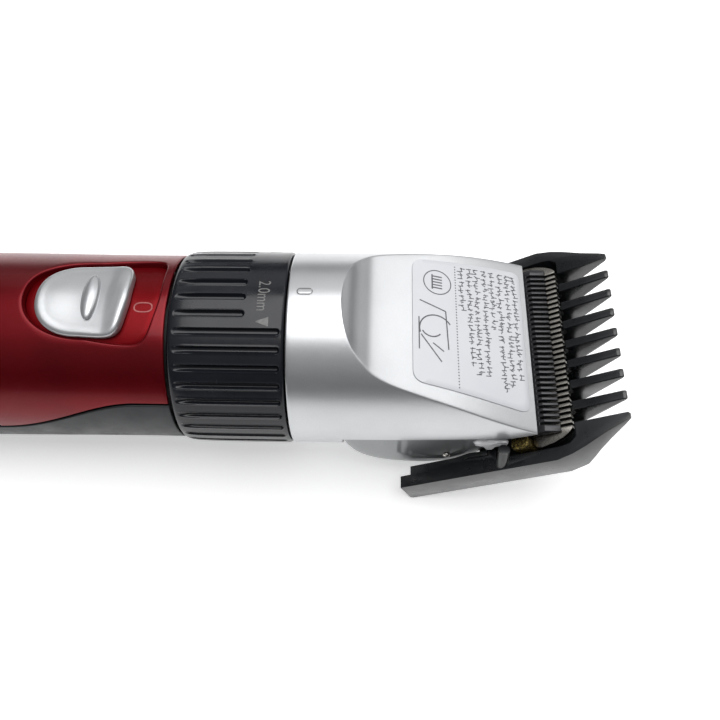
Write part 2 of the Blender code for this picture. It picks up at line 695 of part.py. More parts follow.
def build_blades():
    slots = comb_slots(FIXED_SLOTS // 2, FIXED_PITCH, FIXED_SLOT_W, FIXED_SLOT_END, FIXED_TIP, 0)
    rim = [(-2.2, 19.2), (-2.9, 19.8), (-4.1, 20.5), (-5.9, 21.2), (-8.4, 21.7), (-9.6, 21.5), (-10.2, 20.8),
           (-10.2, 18.6), (FIXED_REAR, 18.6)]
    outline = mirrored(slots + [(FIXED_TIP, 18.8)] + rim)
    fixed = add("fixed_blade", outline_plate(outline, -FIXED_T, 0), "steel", blade_axes)
    boolean(fixed, blade_screw_holes())

    width = MOVING_PITCH * 0.5
    slots = comb_slots(MOVING_TEETH // 2, MOVING_PITCH, width, MOVING_SLOT_END, MOVING_TIP, 0)
    rim = [(MOVING_TIP, MOVING_HALF), (-10.2, MOVING_HALF), (-10.2, 12.3), (MOVING_REAR, 12.3)]
    moving = add("moving_blade", outline_plate(mirrored(slots + rim), 0.2, MOVING_TOP), "ceramic_black", blade_axes)
    bevel = outline_plate(((MOVING_TIP - 2.6, MOVING_TOP + 0.01), (MOVING_TIP + 0.2, 0.5), (MOVING_TIP + 3, 0.5),
                           (MOVING_TIP + 3, 6), (MOVING_TIP - 2.6, 6)), -24, 24, "XZ")
    boolean(moving, bevel)

    base = MOVING_TOP + GAP
    driver = add("blade_driver", box((-17.2, -5.3, base), (DRIVER_FRONT, 5.3, base + 1.1)), "nylon_white", blade_axes)
    boolean(driver, box((DRIVER_REAR, -5.3, base), (-16.8, 5.3, base + 0.8)), "UNION")
    inner = PIN_R + CRANK + STROKE + GAP
    for side in (-1, 1):
        low, high = sorted((side * inner, side * 5.3))
        boolean(driver, box((DRIVER_REAR, low, base + 0.5), (-17.6, high, 8.0)), "UNION")
    boolean(driver, box((-15.9, -7, base + 0.4), (-13.9, 7, base + 3)))
    setting = add("setting_slide", box((-15.5, -9, base + 0.8), (-14.3, 9, base + 3.3)), "nylon_white", blade_axes)
    setting.modifiers.new("edges", "BEVEL").width = 0.2 * MM


def build_cassette():
    arms = ((-20, 13.6), (-12, 13.6), (-12, ARM_HALF), (-21.6, ARM_HALF))
    profile = [*arms, (-21.6, 15.6), (-24.4, 15.0), (-24.4, 4.4), (-28.7, 4.4)]
    inner = [(-21.4, 4.4), (-21.4, 13.1)]
    outline = [(-21.4, 0)] + inner[1:] + list(arms) + profile[4:]
    frame = add("blade_frame", outline_plate(mirrored(outline), GAP, 3.3), "black_gloss", blade_axes)
    hinge = blade_axes_point(HINGE_X, HINGE_Z)
    boolean(frame, rod(2.1, (hinge[0], -4.4, hinge[1]), 8.8, "Y", 20), "UNION")
    boolean(frame, rod(1.15, (hinge[0], -6, hinge[1]), 12, "Y", 20))
    boolean(frame, blade_screw_holes())
    for name, side in (("near", -1), ("far", 1)):
        at = (BLADE_SCREW_U, BLADE_SCREW_V * side)
        screw = add(f"blade_screw_{name}", rod(2.1, (*at, -2.4), 0.8, "Z", 20), "steel", blade_axes)
        boolean(screw, rod(1.2, (*at, -1.7), 3.8, "Z", 12), "UNION")
        route = [(-18.4, 13.1 * side, 4.4), (-18.4, 11.6 * side, 4.3), (-17.2, 11.0 * side, 4.0),
                 (-14.4, 11.0 * side, 3.3), (-13.0, 11.0 * side, 3.15), (-12.0, 11.0 * side, 3.3)]
        wire(f"blade_spring_{name}", route, 0.4, "steel", blade_axes)
        low, high = sorted((side * 19.4, side * 21.8))
        block = add(f"side_block_{name}", box((-14.4, low, -5.2), (-10.5, high, 2.2)), "brass", blade_axes)
        block.modifiers.new("edges", "BEVEL").width = 0.35 * MM
        low, high = sorted((side * CLIP_IN, side * CLIP_OUT))
        clip = add(f"side_clip_{name}", outline_plate(CLIP_SIDE, low, high, "XZ"), "clear", cassette_hinge)
        clip.modifiers.new("edges", "BEVEL").width = 0.35 * MM

    add("hinge_pin", rod(1.0, (0, -9, 0), 18, "Y", 20), "steel", cassette_hinge)
    bracket = add("hinge_bracket", box((-2.2, -9.4, -3.4), (1.2, 9.4, 2.2)), "nickel", cassette_hinge)
    boolean(bracket, box((-4, -8.2, -2.6), (4, 8.2, 4)))
    boolean(bracket, rod(1.3, (0, -12, 0), 24, "Y", 20))


def blade_axes_point(x, z):
    """A point of the tube axes, as (u, w) in blade axes."""
    dx, dz = x - TIP_X, z - TIP_Z
    lean_cos, lean_sin = math.cos(BLADE_LEAN), math.sin(BLADE_LEAN)
    return (dx * lean_cos + dz * lean_sin, dz * lean_cos - dx * lean_sin)


def tube_point(u, w):
    """A point of the blade axes, as (x, z) in the tube axes."""
    lean_cos, lean_sin = math.cos(BLADE_LEAN), math.sin(BLADE_LEAN)
    return (TIP_X + u * lean_cos - w * lean_sin, TIP_Z + u * lean_sin + w * lean_cos)


# ---------------------------------------------------------------- guide comb, in blade axes

def rounded_tip(mesh, start, width):
    """The same fin with its upper and front edges rounded, beyond a place along it."""
    bm = bmesh.new()
    bm.from_mesh(mesh)
    bmesh.ops.dissolve_limit(bm, angle_limit=0.01, verts=bm.verts, edges=bm.edges)
    edges = [edge for edge in bm.edges if max(vert.co.x for vert in edge.verts) > start
             and edge.calc_face_angle(0) > 0.3 and min(vert.co.z for vert in edge.verts) > -1.0 * MM]
    bmesh.ops.bevel(bm, geom=edges, offset=width, segments=3, profile=0.5, affect="EDGES", clamp_overlap=True)
    bmesh.ops.triangulate(bm, faces=bm.faces)
    return mesh_of(bm)


def build_comb():
    """A frame that the blades lie in, open to the rear, with fin-shaped teeth in front and a post on each arm."""
    depth = -COMB_DEPTH
    outer = [(COMB_REAR, COMB_HALF), (-5.7, COMB_HALF), (-2.4, 24.2), (0.4, 23.1), (4.4, 21.2), (8.1, 19.7),
             (9.5, 19.0), (9.6, 18.2)]
    inner_tooth = COMB_PITCH * 4 - COMB_TOOTH_W / 2
    arm = outer + [(9.2, inner_tooth), (THROAT, inner_tooth), (THROAT, COMB_ARM_IN - 1.6),
                   (THROAT - 1.4, COMB_ARM_IN - 0.4), (THROAT - 3.5, COMB_ARM_IN), (COMB_REAR, COMB_ARM_IN)]
    comb = add("guide_comb", outline_plate(arm, depth, 0), "charcoal", blade_axes)
    boolean(comb, outline_plate([(u, -v) for u, v in arm], depth, 0), "UNION")
    reach = COMB_ARM_IN + 0.6
    floor = [(FLOOR_REAR, -reach), (-1.2, -reach), (-1.2, reach), (FLOOR_REAR, reach)]
    boolean(comb, outline_plate(floor, depth, depth + COMB_FLOOR), "UNION")
    tooth = [(-6, depth + 0.8), (-1.8, depth + 0.8), (1.6, -5.3), (9.2, -0.9), (9.6, -0.4), (9.0, 0.0),
             (THROAT, 0.0), (THROAT, -2.0), (-6, -5.2)]
    fins = []
    for i in range(COMB_TEETH - 2):
        v = (i - (COMB_TEETH - 3) / 2) * COMB_PITCH
        fin = outline_plate(tooth, v - COMB_TOOTH_W / 2, v + COMB_TOOTH_W / 2, "XZ")
        fins.append(rounded_tip(fin, 1.5 * MM, FIN_ROUND * MM))
    boolean(comb, merged(*fins), "UNION")
    for side in (-1, 1):
        low, high = sorted((side * RAIL_IN, side * (COMB_ARM_IN + 0.2)))
        boolean(comb, box((RAIL_REAR, low, -1.8), (RAIL_FRONT, high, -0.2)), "UNION")
        guard = outline_plate(RAIL_GUARD, side * (RAIL_IN + 0.5) - 0.5, side * (RAIL_IN + 0.5) + 0.5, "XZ")
        boolean(comb, guard, "UNION")
        foot, head = (Vector((u, side * v, w)) for u, v, w in (POST_FOOT, POST_HEAD))
        post = rod(POST_R, (0, 0, 0), (head - foot).length, "Z", 20)
        turn = (head - foot).to_track_quat("Z", "Y").to_matrix().to_4x4()
        post.transform(Matrix.Translation(foot * MM) @ turn)
        boolean(comb, post, "UNION")
    # The underside of the two outer teeth rises to their tips like the fins' undersides.
    rise = [(-1.8, depth - 1), (-1.8, depth), (1.6, -5.3), (9.2, -0.9), (12, 0.7), (12, depth - 1)]
    boolean(comb, outline_plate(rise, -27, 27, "XZ"))
    slant = COMB_RAKE / COMB_DEPTH
    heel = [(COMB_REAR - 3, 2), (COMB_REAR + COMB_RAKE + 2 * slant, 2), (COMB_REAR - slant, depth - 1),
            (COMB_REAR - 3, depth - 1)]
    boolean(comb, outline_plate(heel, -27, 27, "XZ"))


# ---------------------------------------------------------------- resting pose

def rest_on_belly(lower):
    """Pitches the clipper so that its belly and the comb's heels are level, and cuts a flat where each rests."""
    heel = Vector(tube_point(COMB_REAR, -COMB_DEPTH + COMB_HEEL_FLAT))
    belly = Vector((BELLY_X, -grip_radius(BELLY_X) - BELLY_SWELL + REST_FLAT_DEPTH))
    pitch = math.atan2(belly.y - heel.y, heel.x - belly.x)
    for target in (lower, bpy.data.objects["guide_comb"]):
        level = box((-90, -40, -20), (140, 40, 0))
        level.transform(Matrix.Translation((belly.x * MM, 0, belly.y * MM)) @ Matrix.Rotation(pitch, 4, "Y"))
        if target.parent is blade_axes:
            to_blade = Matrix.Translation((TIP_X * MM, 0, TIP_Z * MM)) @ Matrix.Rotation(-BLADE_LEAN, 4, "Y")
            level.transform(to_blade.inverted())
        boolean(target, level)
    rest_frame.rotation_euler = (0, -pitch, 0)
    bpy.context.view_layer.update()
    graph = bpy.context.evaluated_depsgraph_get()
    points = []
    for part in PARTS.objects:
        if part.type == "MESH":
            shape = part.evaluated_get(graph).to_mesh()
            points += [part.matrix_world @ vertex.co for vertex in shape.vertices]
    low = [min(point[i] for point in points) for i in range(3)]
    high = [max(point[i] for point in points) for i in range(3)]
    rest_frame.location = (-(low[0] + high[0]) / 2, -(low[1] + high[1]) / 2, -low[2])


lower_shell = build_grip()
build_switch()
build_tail()
build_inside()
build_neck()
build_ring()
build_pusher()
build_head()
build_label()
build_motor()
build_blades()
build_cassette()
build_comb()
rest_on_belly(lower_shell)
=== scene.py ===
"""The looks of the hair clipper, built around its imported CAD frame.

Pieces are drawn in millimetres in the tube frame (X along the grip towards the blade, 0 at the front
edge of the length ring, Z up through the thumb switch), and TUBE carries them into the frame's metres.
"""

import json
import math
import random

import bmesh
import bpy
from mathutils import Matrix, Vector

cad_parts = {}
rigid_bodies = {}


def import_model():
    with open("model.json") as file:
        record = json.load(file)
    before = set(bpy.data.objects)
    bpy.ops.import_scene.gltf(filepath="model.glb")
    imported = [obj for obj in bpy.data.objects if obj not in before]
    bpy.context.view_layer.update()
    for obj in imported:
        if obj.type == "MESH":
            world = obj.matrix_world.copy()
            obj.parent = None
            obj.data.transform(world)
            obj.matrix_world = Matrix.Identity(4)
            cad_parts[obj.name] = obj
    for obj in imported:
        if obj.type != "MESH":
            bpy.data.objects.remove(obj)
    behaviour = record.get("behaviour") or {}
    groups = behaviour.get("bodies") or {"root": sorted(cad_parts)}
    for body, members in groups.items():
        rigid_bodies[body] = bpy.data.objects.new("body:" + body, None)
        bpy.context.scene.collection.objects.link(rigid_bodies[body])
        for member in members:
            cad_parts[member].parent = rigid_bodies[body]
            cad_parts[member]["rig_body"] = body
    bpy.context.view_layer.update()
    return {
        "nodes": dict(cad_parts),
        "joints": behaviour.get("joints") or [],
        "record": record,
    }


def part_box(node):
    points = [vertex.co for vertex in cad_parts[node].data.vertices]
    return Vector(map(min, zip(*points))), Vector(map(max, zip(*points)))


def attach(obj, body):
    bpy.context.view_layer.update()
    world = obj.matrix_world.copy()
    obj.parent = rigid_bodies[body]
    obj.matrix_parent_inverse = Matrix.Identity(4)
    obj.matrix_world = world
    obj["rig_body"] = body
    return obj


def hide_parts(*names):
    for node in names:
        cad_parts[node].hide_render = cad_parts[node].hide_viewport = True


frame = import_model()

NODES = frame["nodes"]
JOINTS = {joint["name"]: joint for joint in frame["joints"]}
SLOT_OF = {part["node"]: part["material_slot"] for part in frame["record"]["subparts"]}

MM = 0.001
RING_PIVOT_X = -11.0          # where the ring's joint sits on the tube axis

# Grip, as in the CAD
GRIP_FRONT = -23.3
GRIP_REAR = -116.0
BELLY_SWELL = 1.1
BELLY_X = -80.0
BELLY_REACH = 34.0
PART_ANGLE_FRONT = 64.5
PART_ANGLE_REAR = 88.0
SHELL_T = 1.4
RECESS_DEPTH = 1.9
PLATE_R = 18.3

# Length ring
RING_R = 20.5
RING_BORE = 17.6
RING_REAR = -22.6
RING_FRONT = -0.15
FLUTES = 36
FLUTE_HALF = 0.75
FLUTE_REAR = -21.6
FLUTE_SHORT_END = -7.7
FLUTE_LONG_END = -0.8
FLUTE_DEPTH = 0.85

# Head
HEAD_R = 20.4
COLLAR_FRONT = 10.6
HEAD_FRONT = 49.9
FACE = ((10.6, 20.4), (12.7, 18.1), (14.8, 16.5), (16.8, 15.2), (20.0, 13.9), (24.9, 12.4), (33.2, 9.7),
        (49.9, 2.7))
SIDE_EDGE = ((10.6, -2.5), (23.0, -2.0), (34.0, -1.0), (45.0, 0.0), (50.5, 2.6))
CHIN_HALF = 19.6
CHIN = ((10.9, 20.3, 2.2), (12.5, 20.6, 3.4), (16.3, 21.0, 6.0), (21.0, 21.0, 9.0), (28.0, 21.0, 11.0),
        (33.0, 19.5, 11.0), (36.2, 17.6, 11.0), (38.4, 15.2, 11.0), (40.6, 10.4, 11.0))


# ---------------------------------------------------------------- frames

def axes_matrix(origin, x_axis, y_axis, z_axis):
    """A matrix from millimetres in a local frame to metres in the part's frame."""
    columns = [axis * MM for axis in (x_axis, y_axis, z_axis)]
    rows = [(columns[0][i], columns[1][i], columns[2][i], origin[i]) for i in range(3)]
    return Matrix((*rows, (0, 0, 0, 1)))


SIDEWAYS = Vector((0, 1, 0))
ALONG = Vector(JOINTS["ring_turn"]["axis"]).normalized()
TUBE_ORIGIN = Vector(JOINTS["ring_turn"]["pos_m"]) - ALONG * RING_PIVOT_X * MM
TUBE = axes_matrix(TUBE_ORIGIN, ALONG, SIDEWAYS, ALONG.cross(SIDEWAYS))


# ---------------------------------------------------------------- materials

class Paint:
    """A node material that is put together step by step around one Principled shader."""

    def __init__(self, name, **constants):
        self.material = bpy.data.materials.new(name)
        self.material.use_nodes = True
        self.tree = self.material.node_tree
        self.shader = self.tree.nodes["Principled BSDF"]
        for socket, value in constants.items():
            self.shader.inputs[socket.replace("_", " ")].default_value = value
        coordinates = self.tree.nodes.new("ShaderNodeTexCoord")
        self.place = coordinates.outputs["Object"]

    def link(self, output, target):
        self.tree.links.new(output, target)

    def stretched(self, scale):
        """Object coordinates with a scale of their own along each axis."""
        mapping = self.tree.nodes.new("ShaderNodeMapping")
        mapping.inputs["Scale"].default_value = scale
        self.link(self.place, mapping.inputs["Vector"])
        return mapping.outputs["Vector"]

    def noise(self, scale, detail=3.0, roughness=0.55, vector=None):
        made = self.tree.nodes.new("ShaderNodeTexNoise")
        made.inputs["Scale"].default_value = scale
        made.inputs["Detail"].default_value = detail
        made.inputs["Roughness"].default_value = roughness
        self.link(vector or self.place, made.inputs["Vector"])
        return made.outputs["Fac"]

    def cells(self, scale):
        made = self.tree.nodes.new("ShaderNodeTexVoronoi")
        made.inputs["Scale"].default_value = scale
        self.link(self.place, made.inputs["Vector"])
        return made

    def spread(self, value, low, high, dark, light):
        """Maps low..high of a value to dark..light."""
        made = self.tree.nodes.new("ShaderNodeMapRange")
        made.inputs["From Min"].default_value = low
        made.inputs["From Max"].default_value = high
        made.inputs["To Min"].default_value = dark
        made.inputs["To Max"].default_value = light
        self.link(value, made.inputs["Value"])
        return made.outputs["Result"]

    def ramp(self, value, *stops):
        made = self.tree.nodes.new("ShaderNodeValToRGB")
        elements = made.color_ramp.elements
        while len(elements) < len(stops):
            elements.new(0.5)
        for element, (place, colour) in zip(elements, stops):
            element.position = place
            element.color = (*colour, 1.0)
        self.link(value, made.inputs["Fac"])
        return made.outputs["Color"]

    def mix(self, value, first, second):
        """Blends two colours, each a colour output or a plain triple."""
        made = self.tree.nodes.new("ShaderNodeMix")
        made.data_type = "RGBA"
        self.link(value, made.inputs["Factor"])
        for socket, colour in ((made.inputs[6], first), (made.inputs[7], second)):
            if isinstance(colour, tuple):
                socket.default_value = (*colour, 1.0)
            else:
                self.link(colour, socket)
        return made.outputs[2]

    def edges(self, low, high):
        """About 1 on worn convex edges and 0 elsewhere."""
        geometry = self.tree.nodes.new("ShaderNodeNewGeometry")
        return self.spread(geometry.outputs["Pointiness"], low, high, 0.0, 1.0)

    def colour(self, output):
        self.link(output, self.shader.inputs["Base Color"])

    def rough(self, output):
        self.link(output, self.shader.inputs["Roughness"])

    def bump(self, height, distance, strength, under=None):
        made = self.tree.nodes.new("ShaderNodeBump")
        made.inputs["Distance"].default_value = distance
        made.inputs["Strength"].default_value = strength
        self.link(height, made.inputs["Height"])
        if under:
            self.link(under, made.inputs["Normal"])
        self.link(made.outputs["Normal"], self.shader.inputs["Normal"])
        return made.outputs["Normal"]


def flaked_lacquer(name, deep, bright, rough, metallic, coat, sparkling=0.3, coat_rough=0.08, shine=0.5):
    """Metallic paint: flakes that catch the light one by one, slow cloudiness, and a clear coat."""
    paint = Paint(name, Metallic=metallic, Coat_Weight=coat, Coat_Roughness=coat_rough,
                  Specular_IOR_Level=shine)
    flakes = paint.cells(9000.0)
    sparkle = paint.spread(flakes.outputs["Color"], 0.0, 1.0, 0.0, 1.0)
    clouds = paint.noise(60.0, 3.0)
    tint = paint.mix(paint.spread(clouds, 0.3, 0.7, 0.0, 0.3), deep, bright)
    paint.colour(paint.mix(paint.spread(sparkle, 0.55, 1.0, 0.0, sparkling), tint, bright))
    paint.rough(paint.spread(paint.noise(1400.0, 5.0), 0.3, 0.7, rough * 0.92, rough * 1.1))
    paint.bump(sparkle, 0.000004, sparkling)
    return paint.material


def moulded_plastic(name, dark, light, rough, coat=0.0, grain=2600.0, depth=0.00002, strength=0.35,
                    shine=0.5):
    """Moulded plastic with a fine grain, faint handling marks and paler worn edges."""
    paint = Paint(name, Coat_Weight=coat, Coat_Roughness=0.08, Specular_IOR_Level=shine)
    body = paint.mix(paint.spread(paint.noise(90.0, 5.0), 0.3, 0.7, 0.0, 1.0), dark, light)
    worn = tuple(min(1.0, 2.2 * value + 0.015) for value in light)
    paint.colour(paint.mix(paint.edges(0.56, 0.75), body, worn))
    smudge = paint.noise(230.0, 6.0, 0.6)
    paint.rough(paint.spread(smudge, 0.3, 0.7, rough * 0.8, rough * 1.25))
    grained = paint.bump(paint.noise(grain, 3.0), depth, strength)
    paint.bump(paint.noise(120.0, 1.0), 0.00006, 0.12, grained)
    return paint.material


def ground_metal(name, dark, light, rough, scale=(300.0, 9000.0, 9000.0), metallic=1.0, depth=0.000006):
    """Metal with grinding lines along X, small stains and brighter edges."""
    paint = Paint(name, Metallic=metallic, Anisotropic=0.4)
    lines = paint.noise(1.0, 3.0, 0.6, paint.stretched(scale))
    stains = paint.noise(420.0, 5.0, 0.65)
    body = paint.mix(paint.spread(lines, 0.25, 0.75, 0.0, 1.0), dark, light)
    stained = paint.mix(paint.spread(stains, 0.58, 0.75, 0.0, 0.5), body, dark)
    paint.colour(paint.mix(paint.edges(0.52, 0.62), stained, light))
    paint.rough(paint.spread(lines, 0.2, 0.8, rough * 0.75, rough * 1.4))
    paint.bump(lines, depth, 0.6)
    return paint.material


def speckled_brass(name):
    """Sintered brass: dark pores and bright grains."""
    paint = Paint(name, Metallic=0.85)
    grains = paint.noise(3600.0, 3.0, 0.7)
    pores, body, bright = (0.015, 0.012, 0.005), (0.10, 0.075, 0.02), (0.55, 0.42, 0.14)
    paint.colour(paint.ramp(grains, (0.40, pores), (0.54, body), (0.68, bright)))
    paint.rough(paint.spread(grains, 0.3, 0.7, 0.65, 0.3))
    paint.bump(grains, 0.00003, 0.8)
    return paint.material


def clear_moulding(name, tint, rough, transmission):
    """Clear plastic with a slight haze and flow marks."""
    paint = Paint(name, Transmission_Weight=transmission, IOR=1.47)
    haze = paint.noise(700.0, 4.0)
    flow = paint.spread(paint.cells(520.0).outputs["Distance"], 0.0, 0.6, 0.0, 1.0)
    paint.colour(paint.mix(paint.spread(haze, 0.3, 0.7, 0.0, 1.0), tint, (0.96, 0.97, 0.98)))
    paint.rough(paint.spread(haze, 0.3, 0.7, rough * 0.6, rough * 1.8))
    paint.bump(flow, 0.0006, 0.6)
    return paint.material


def printed_film(name, base, shade, rough):
    """Matt printed film with a faint fibre and a slow change of shade."""
    paint = Paint(name, Coat_Weight=0.25, Coat_Roughness=0.2)
    tone = paint.mix(paint.spread(paint.noise(45.0, 3.0), 0.3, 0.7, 0.0, 1.0), base, shade)
    paint.colour(tone)
    paint.rough(paint.spread(paint.noise(900.0, 4.0), 0.3, 0.7, rough * 0.85, rough * 1.2))
    paint.bump(paint.noise(5200.0, 2.0), 0.000006, 0.4)
    return paint.material


def ink(name, colour, lift):
    """Printing ink, a little uneven."""
    paint = Paint(name)
    paint.colour(paint.mix(paint.spread(paint.noise(2400.0, 3.0), 0.35, 0.65, 0.0, 1.0), colour, lift))
    paint.rough(paint.spread(paint.noise(1500.0, 3.0), 0.3, 0.7, 0.35, 0.6))
    paint.bump(paint.noise(6000.0, 2.0), 0.000004, 0.4)
    return paint.material


def make_materials():
    return {
        "shell_red": flaked_lacquer("red_lacquer", (0.115, 0.001, 0.004), (0.27, 0.003, 0.009), 0.34, 0.7,
                                    0.2, 0.12, 0.15, 0.25),
        "shell_dark": moulded_plastic("dark_grip_plastic", (0.015, 0.017, 0.019), (0.021, 0.023, 0.025), 0.42,
                                      shine=0.35),
        "ring_black": moulded_plastic("ring_plastic", (0.007, 0.008, 0.011), (0.011, 0.012, 0.016), 0.22,
                                      0.08, 900.0, 0.00001, 0.15, 0.3),
        "head_silver": flaked_lacquer("head_silver_paint", (0.50, 0.51, 0.52), (0.68, 0.69, 0.70), 0.32, 0.8,
                                      0.08, 0.25),
        # The chin's silver is a darker copy of the head's silver: painted shade for the chin's sides, which
        # face downwards.
        "chin_shaded_silver": flaked_lacquer("chin_shaded_silver_paint", (0.20, 0.21, 0.215), (0.30, 0.31, 0.315), 0.3, 0.7,
                                      0.15, 0.2),
        "slider_silver": flaked_lacquer("slider_silver_paint", (0.46, 0.47, 0.48), (0.61, 0.62, 0.63), 0.32,
                                        0.7, 0.15),
        "steel": ground_metal("ground_steel", (0.30, 0.29, 0.27), (0.58, 0.57, 0.54), 0.30),
        "blade_steel": ground_metal("dark_blade_steel", (0.10, 0.094, 0.086), (0.24, 0.23, 0.21), 0.27),
        "blade_black": ground_metal("coated_blade", (0.012, 0.012, 0.014), (0.035, 0.035, 0.038), 0.22,
                                    (400.0, 7000.0, 7000.0), 0.3),
        "brass": speckled_brass("sintered_brass"),
        "clear_plastic": clear_moulding("clear_clip_plastic", (0.86, 0.87, 0.89), 0.06, 0.45),
        "comb_black": moulded_plastic("comb_plastic", (0.006, 0.0068, 0.0078), (0.010, 0.011, 0.0125), 0.30,
                                      0.2, 2200.0, 0.00002, 0.25),
        "label_film": printed_film("label_film", (0.62, 0.63, 0.66), (0.68, 0.69, 0.715), 0.42),
        "nylon": moulded_plastic("nylon", (0.66, 0.66, 0.61), (0.76, 0.76, 0.71), 0.45),
        "nickel": ground_metal("nickel_plate", (0.42, 0.40, 0.36), (0.66, 0.64, 0.59), 0.24),
        "board_green": moulded_plastic("board_mask", (0.015, 0.11, 0.04), (0.03, 0.19, 0.07), 0.3, 0.4),
        "cell_blue": moulded_plastic("cell_sleeve", (0.03, 0.10, 0.30), (0.05, 0.15, 0.42), 0.35, 0.2),
        "lens_clear": clear_moulding("lens_plastic", (0.62, 0.72, 0.64), 0.12, 0.6),
        "lead_red": moulded_plastic("red_lead", (0.34, 0.01, 0.01), (0.44, 0.02, 0.02), 0.45),
        "lead_grey": moulded_plastic("grey_window", (0.10, 0.10, 0.10), (0.15, 0.15, 0.15), 0.4),
        "lead_black": moulded_plastic("black_lead", (0.015, 0.015, 0.015), (0.03, 0.03, 0.03), 0.45),
        "plate_red": flaked_lacquer("plate_lacquer", (0.14, 0.001, 0.003), (0.25, 0.003, 0.007), 0.4, 0.6,
                                    0.05, 0.1, 0.15, 0.12),
        "ink_dark": ink("dark_ink", (0.07, 0.07, 0.08), (0.13, 0.13, 0.14)),
        "ink_grey": ink("grey_ink", (0.12, 0.12, 0.12), (0.17, 0.17, 0.165)),
        "ink_rose": ink("rose_ink", (0.30, 0.07, 0.07), (0.42, 0.13, 0.12)),
    }


MATERIALS = make_materials()


# ---------------------------------------------------------------- building

BEVEL_ANGLE = 28.0            # edges that bend more than this are rounded
FLAT_ANGLE = 0.7              # facets that bend less than this become one face
REFINED_SMOOTH_ANGLE = 50.0
WELD = 1e-4                   # points closer than this are one


def finish_mesh(made, smooth_angle):
    """Applies the modifiers and shades smooth between faces that meet at less than the angle."""
    graph = bpy.context.evaluated_depsgraph_get()
    mesh = bpy.data.meshes.new_from_object(made.evaluated_get(graph))
    made.modifiers.clear()
    made.data = mesh
    mesh.shade_smooth()
    mesh.set_sharp_from_angle(angle=math.radians(smooth_angle))


def piece(name, bm, finish, body, stands_for=(), wall=0.0, smooth_angle=40.0, outward=True):
    """A piece drawn in the tube frame: put in place, thickened, and given its material and body.

    With outward set, the faces are turned to point away from the tube's axis.
    """
    bmesh.ops.remove_doubles(bm, verts=bm.verts, dist=WELD)
    bmesh.ops.recalc_face_normals(bm, faces=bm.faces)
    if outward:
        lean = sum(face.normal.y * face.calc_center_median().y + face.normal.z * face.calc_center_median().z
                   for face in bm.faces)
        if lean < 0:
            bmesh.ops.reverse_faces(bm, faces=bm.faces)
    bmesh.ops.transform(bm, matrix=TUBE, verts=bm.verts)
    mesh = bpy.data.meshes.new(name)
    bm.to_mesh(mesh)
    bm.free()
    made = bpy.data.objects.new(name, mesh)
    bpy.context.scene.collection.objects.link(made)
    mesh.materials.append(MATERIALS[finish])
    if wall:
        step = made.modifiers.new("wall", "SOLIDIFY")
        step.thickness = wall * MM
        step.offset = -1.0
        step.use_even_offset = True
    finish_mesh(made, smooth_angle)
    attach(made, body)
    if stands_for:
        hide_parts(*stands_for)


def add_bevel(made, width, segments):
    step = made.modifiers.new("round_edges", "BEVEL")
    step.width = width * MM
    step.segments = segments
    step.limit_method = "ANGLE"
    step.angle_limit = math.radians(BEVEL_ANGLE)
    step.use_clamp_overlap = True


def grid(bm, rows, around=False):
    """Quads through rows of points."""
    lines = [[bm.verts.new(point) for point in row] for row in rows]
    for low, high in zip(lines, lines[1:]):
        count = len(low)
        for i in range(count if around else count - 1):
            j = (i + 1) % count
            bm.faces.new((low[i], low[j], high[j], high[i]))
    return lines


def close_holes(bm, above=-math.inf):
    """A face across the open edges, or across those of them that are above a height."""
    rim = [edge for edge in bm.edges if edge.is_boundary and edge.verts[0].co.z > above]
    bmesh.ops.contextual_create(bm, geom=rim)


def ellipsoid(name, centre, radii, segments, rings, finish, body):
    bm = bmesh.new()
    place = Matrix.Translation(centre) @ Matrix.Diagonal((*radii, 1))
    bmesh.ops.create_uvsphere(bm, u_segments=segments, v_segments=rings, radius=1.0, matrix=place)
    piece(name, bm, finish, body, smooth_angle=60.0, outward=False)


def on_tube(x, degrees, radius):
    angle = math.radians(degrees)
    return Vector((x, radius * math.sin(angle), radius * math.cos(angle)))


def smooth_step(t):
    t = min(1.0, max(0.0, t))
    return t * t * (3 - 2 * t)


def curve_value(points, x):
    """A smooth curve through (x, value) points that doesn't overshoot."""
    slopes = [(b[1] - a[1]) / (b[0] - a[0]) for a, b in zip(points, points[1:])]
    inner = [2 * a * b / (a + b) if a * b > 0 else 0.0 for a, b in zip(slopes, slopes[1:])]
    ends = [slopes[0], *inner, slopes[-1]]
    i = 0
    while i < len(points) - 2 and x > points[i + 1][0]:
        i += 1
    (x0, y0), (x1, y1) = points[i], points[i + 1]
    width = x1 - x0
    t = min(1.0, max(0.0, (x - x0) / width))
    rise = (2 * t ** 3 - 3 * t ** 2 + 1) * y0 + (3 * t ** 2 - 2 * t ** 3) * y1
    return rise + width * ((t ** 3 - 2 * t ** 2 + t) * ends[i] + (t ** 3 - t ** 2) * ends[i + 1])


def stations(first, last, step, edge=(0.0, 0.06, 0.16, 0.32), count=0):
    """Places from first to last, close together at both ends, where the edges are rounded."""
    span = abs(last - first)
    sign = 1 if last > first else -1
    count = count or max(1, round((span - 2 * edge[-1]) / step))
    inner = [edge[-1] + (span - 2 * edge[-1]) * i / count for i in range(1, count)]
    return [first + sign * d for d in (*edge, *inner, *[span - d for d in reversed(edge)])]


def edge_drop(distance, radius=0.3):
    """How far a rounded edge falls below its surface, that far in from the edge."""
    if distance >= radius:
        return 0.0
    return radius - math.sqrt(max(0.0, radius ** 2 - (radius - distance) ** 2))


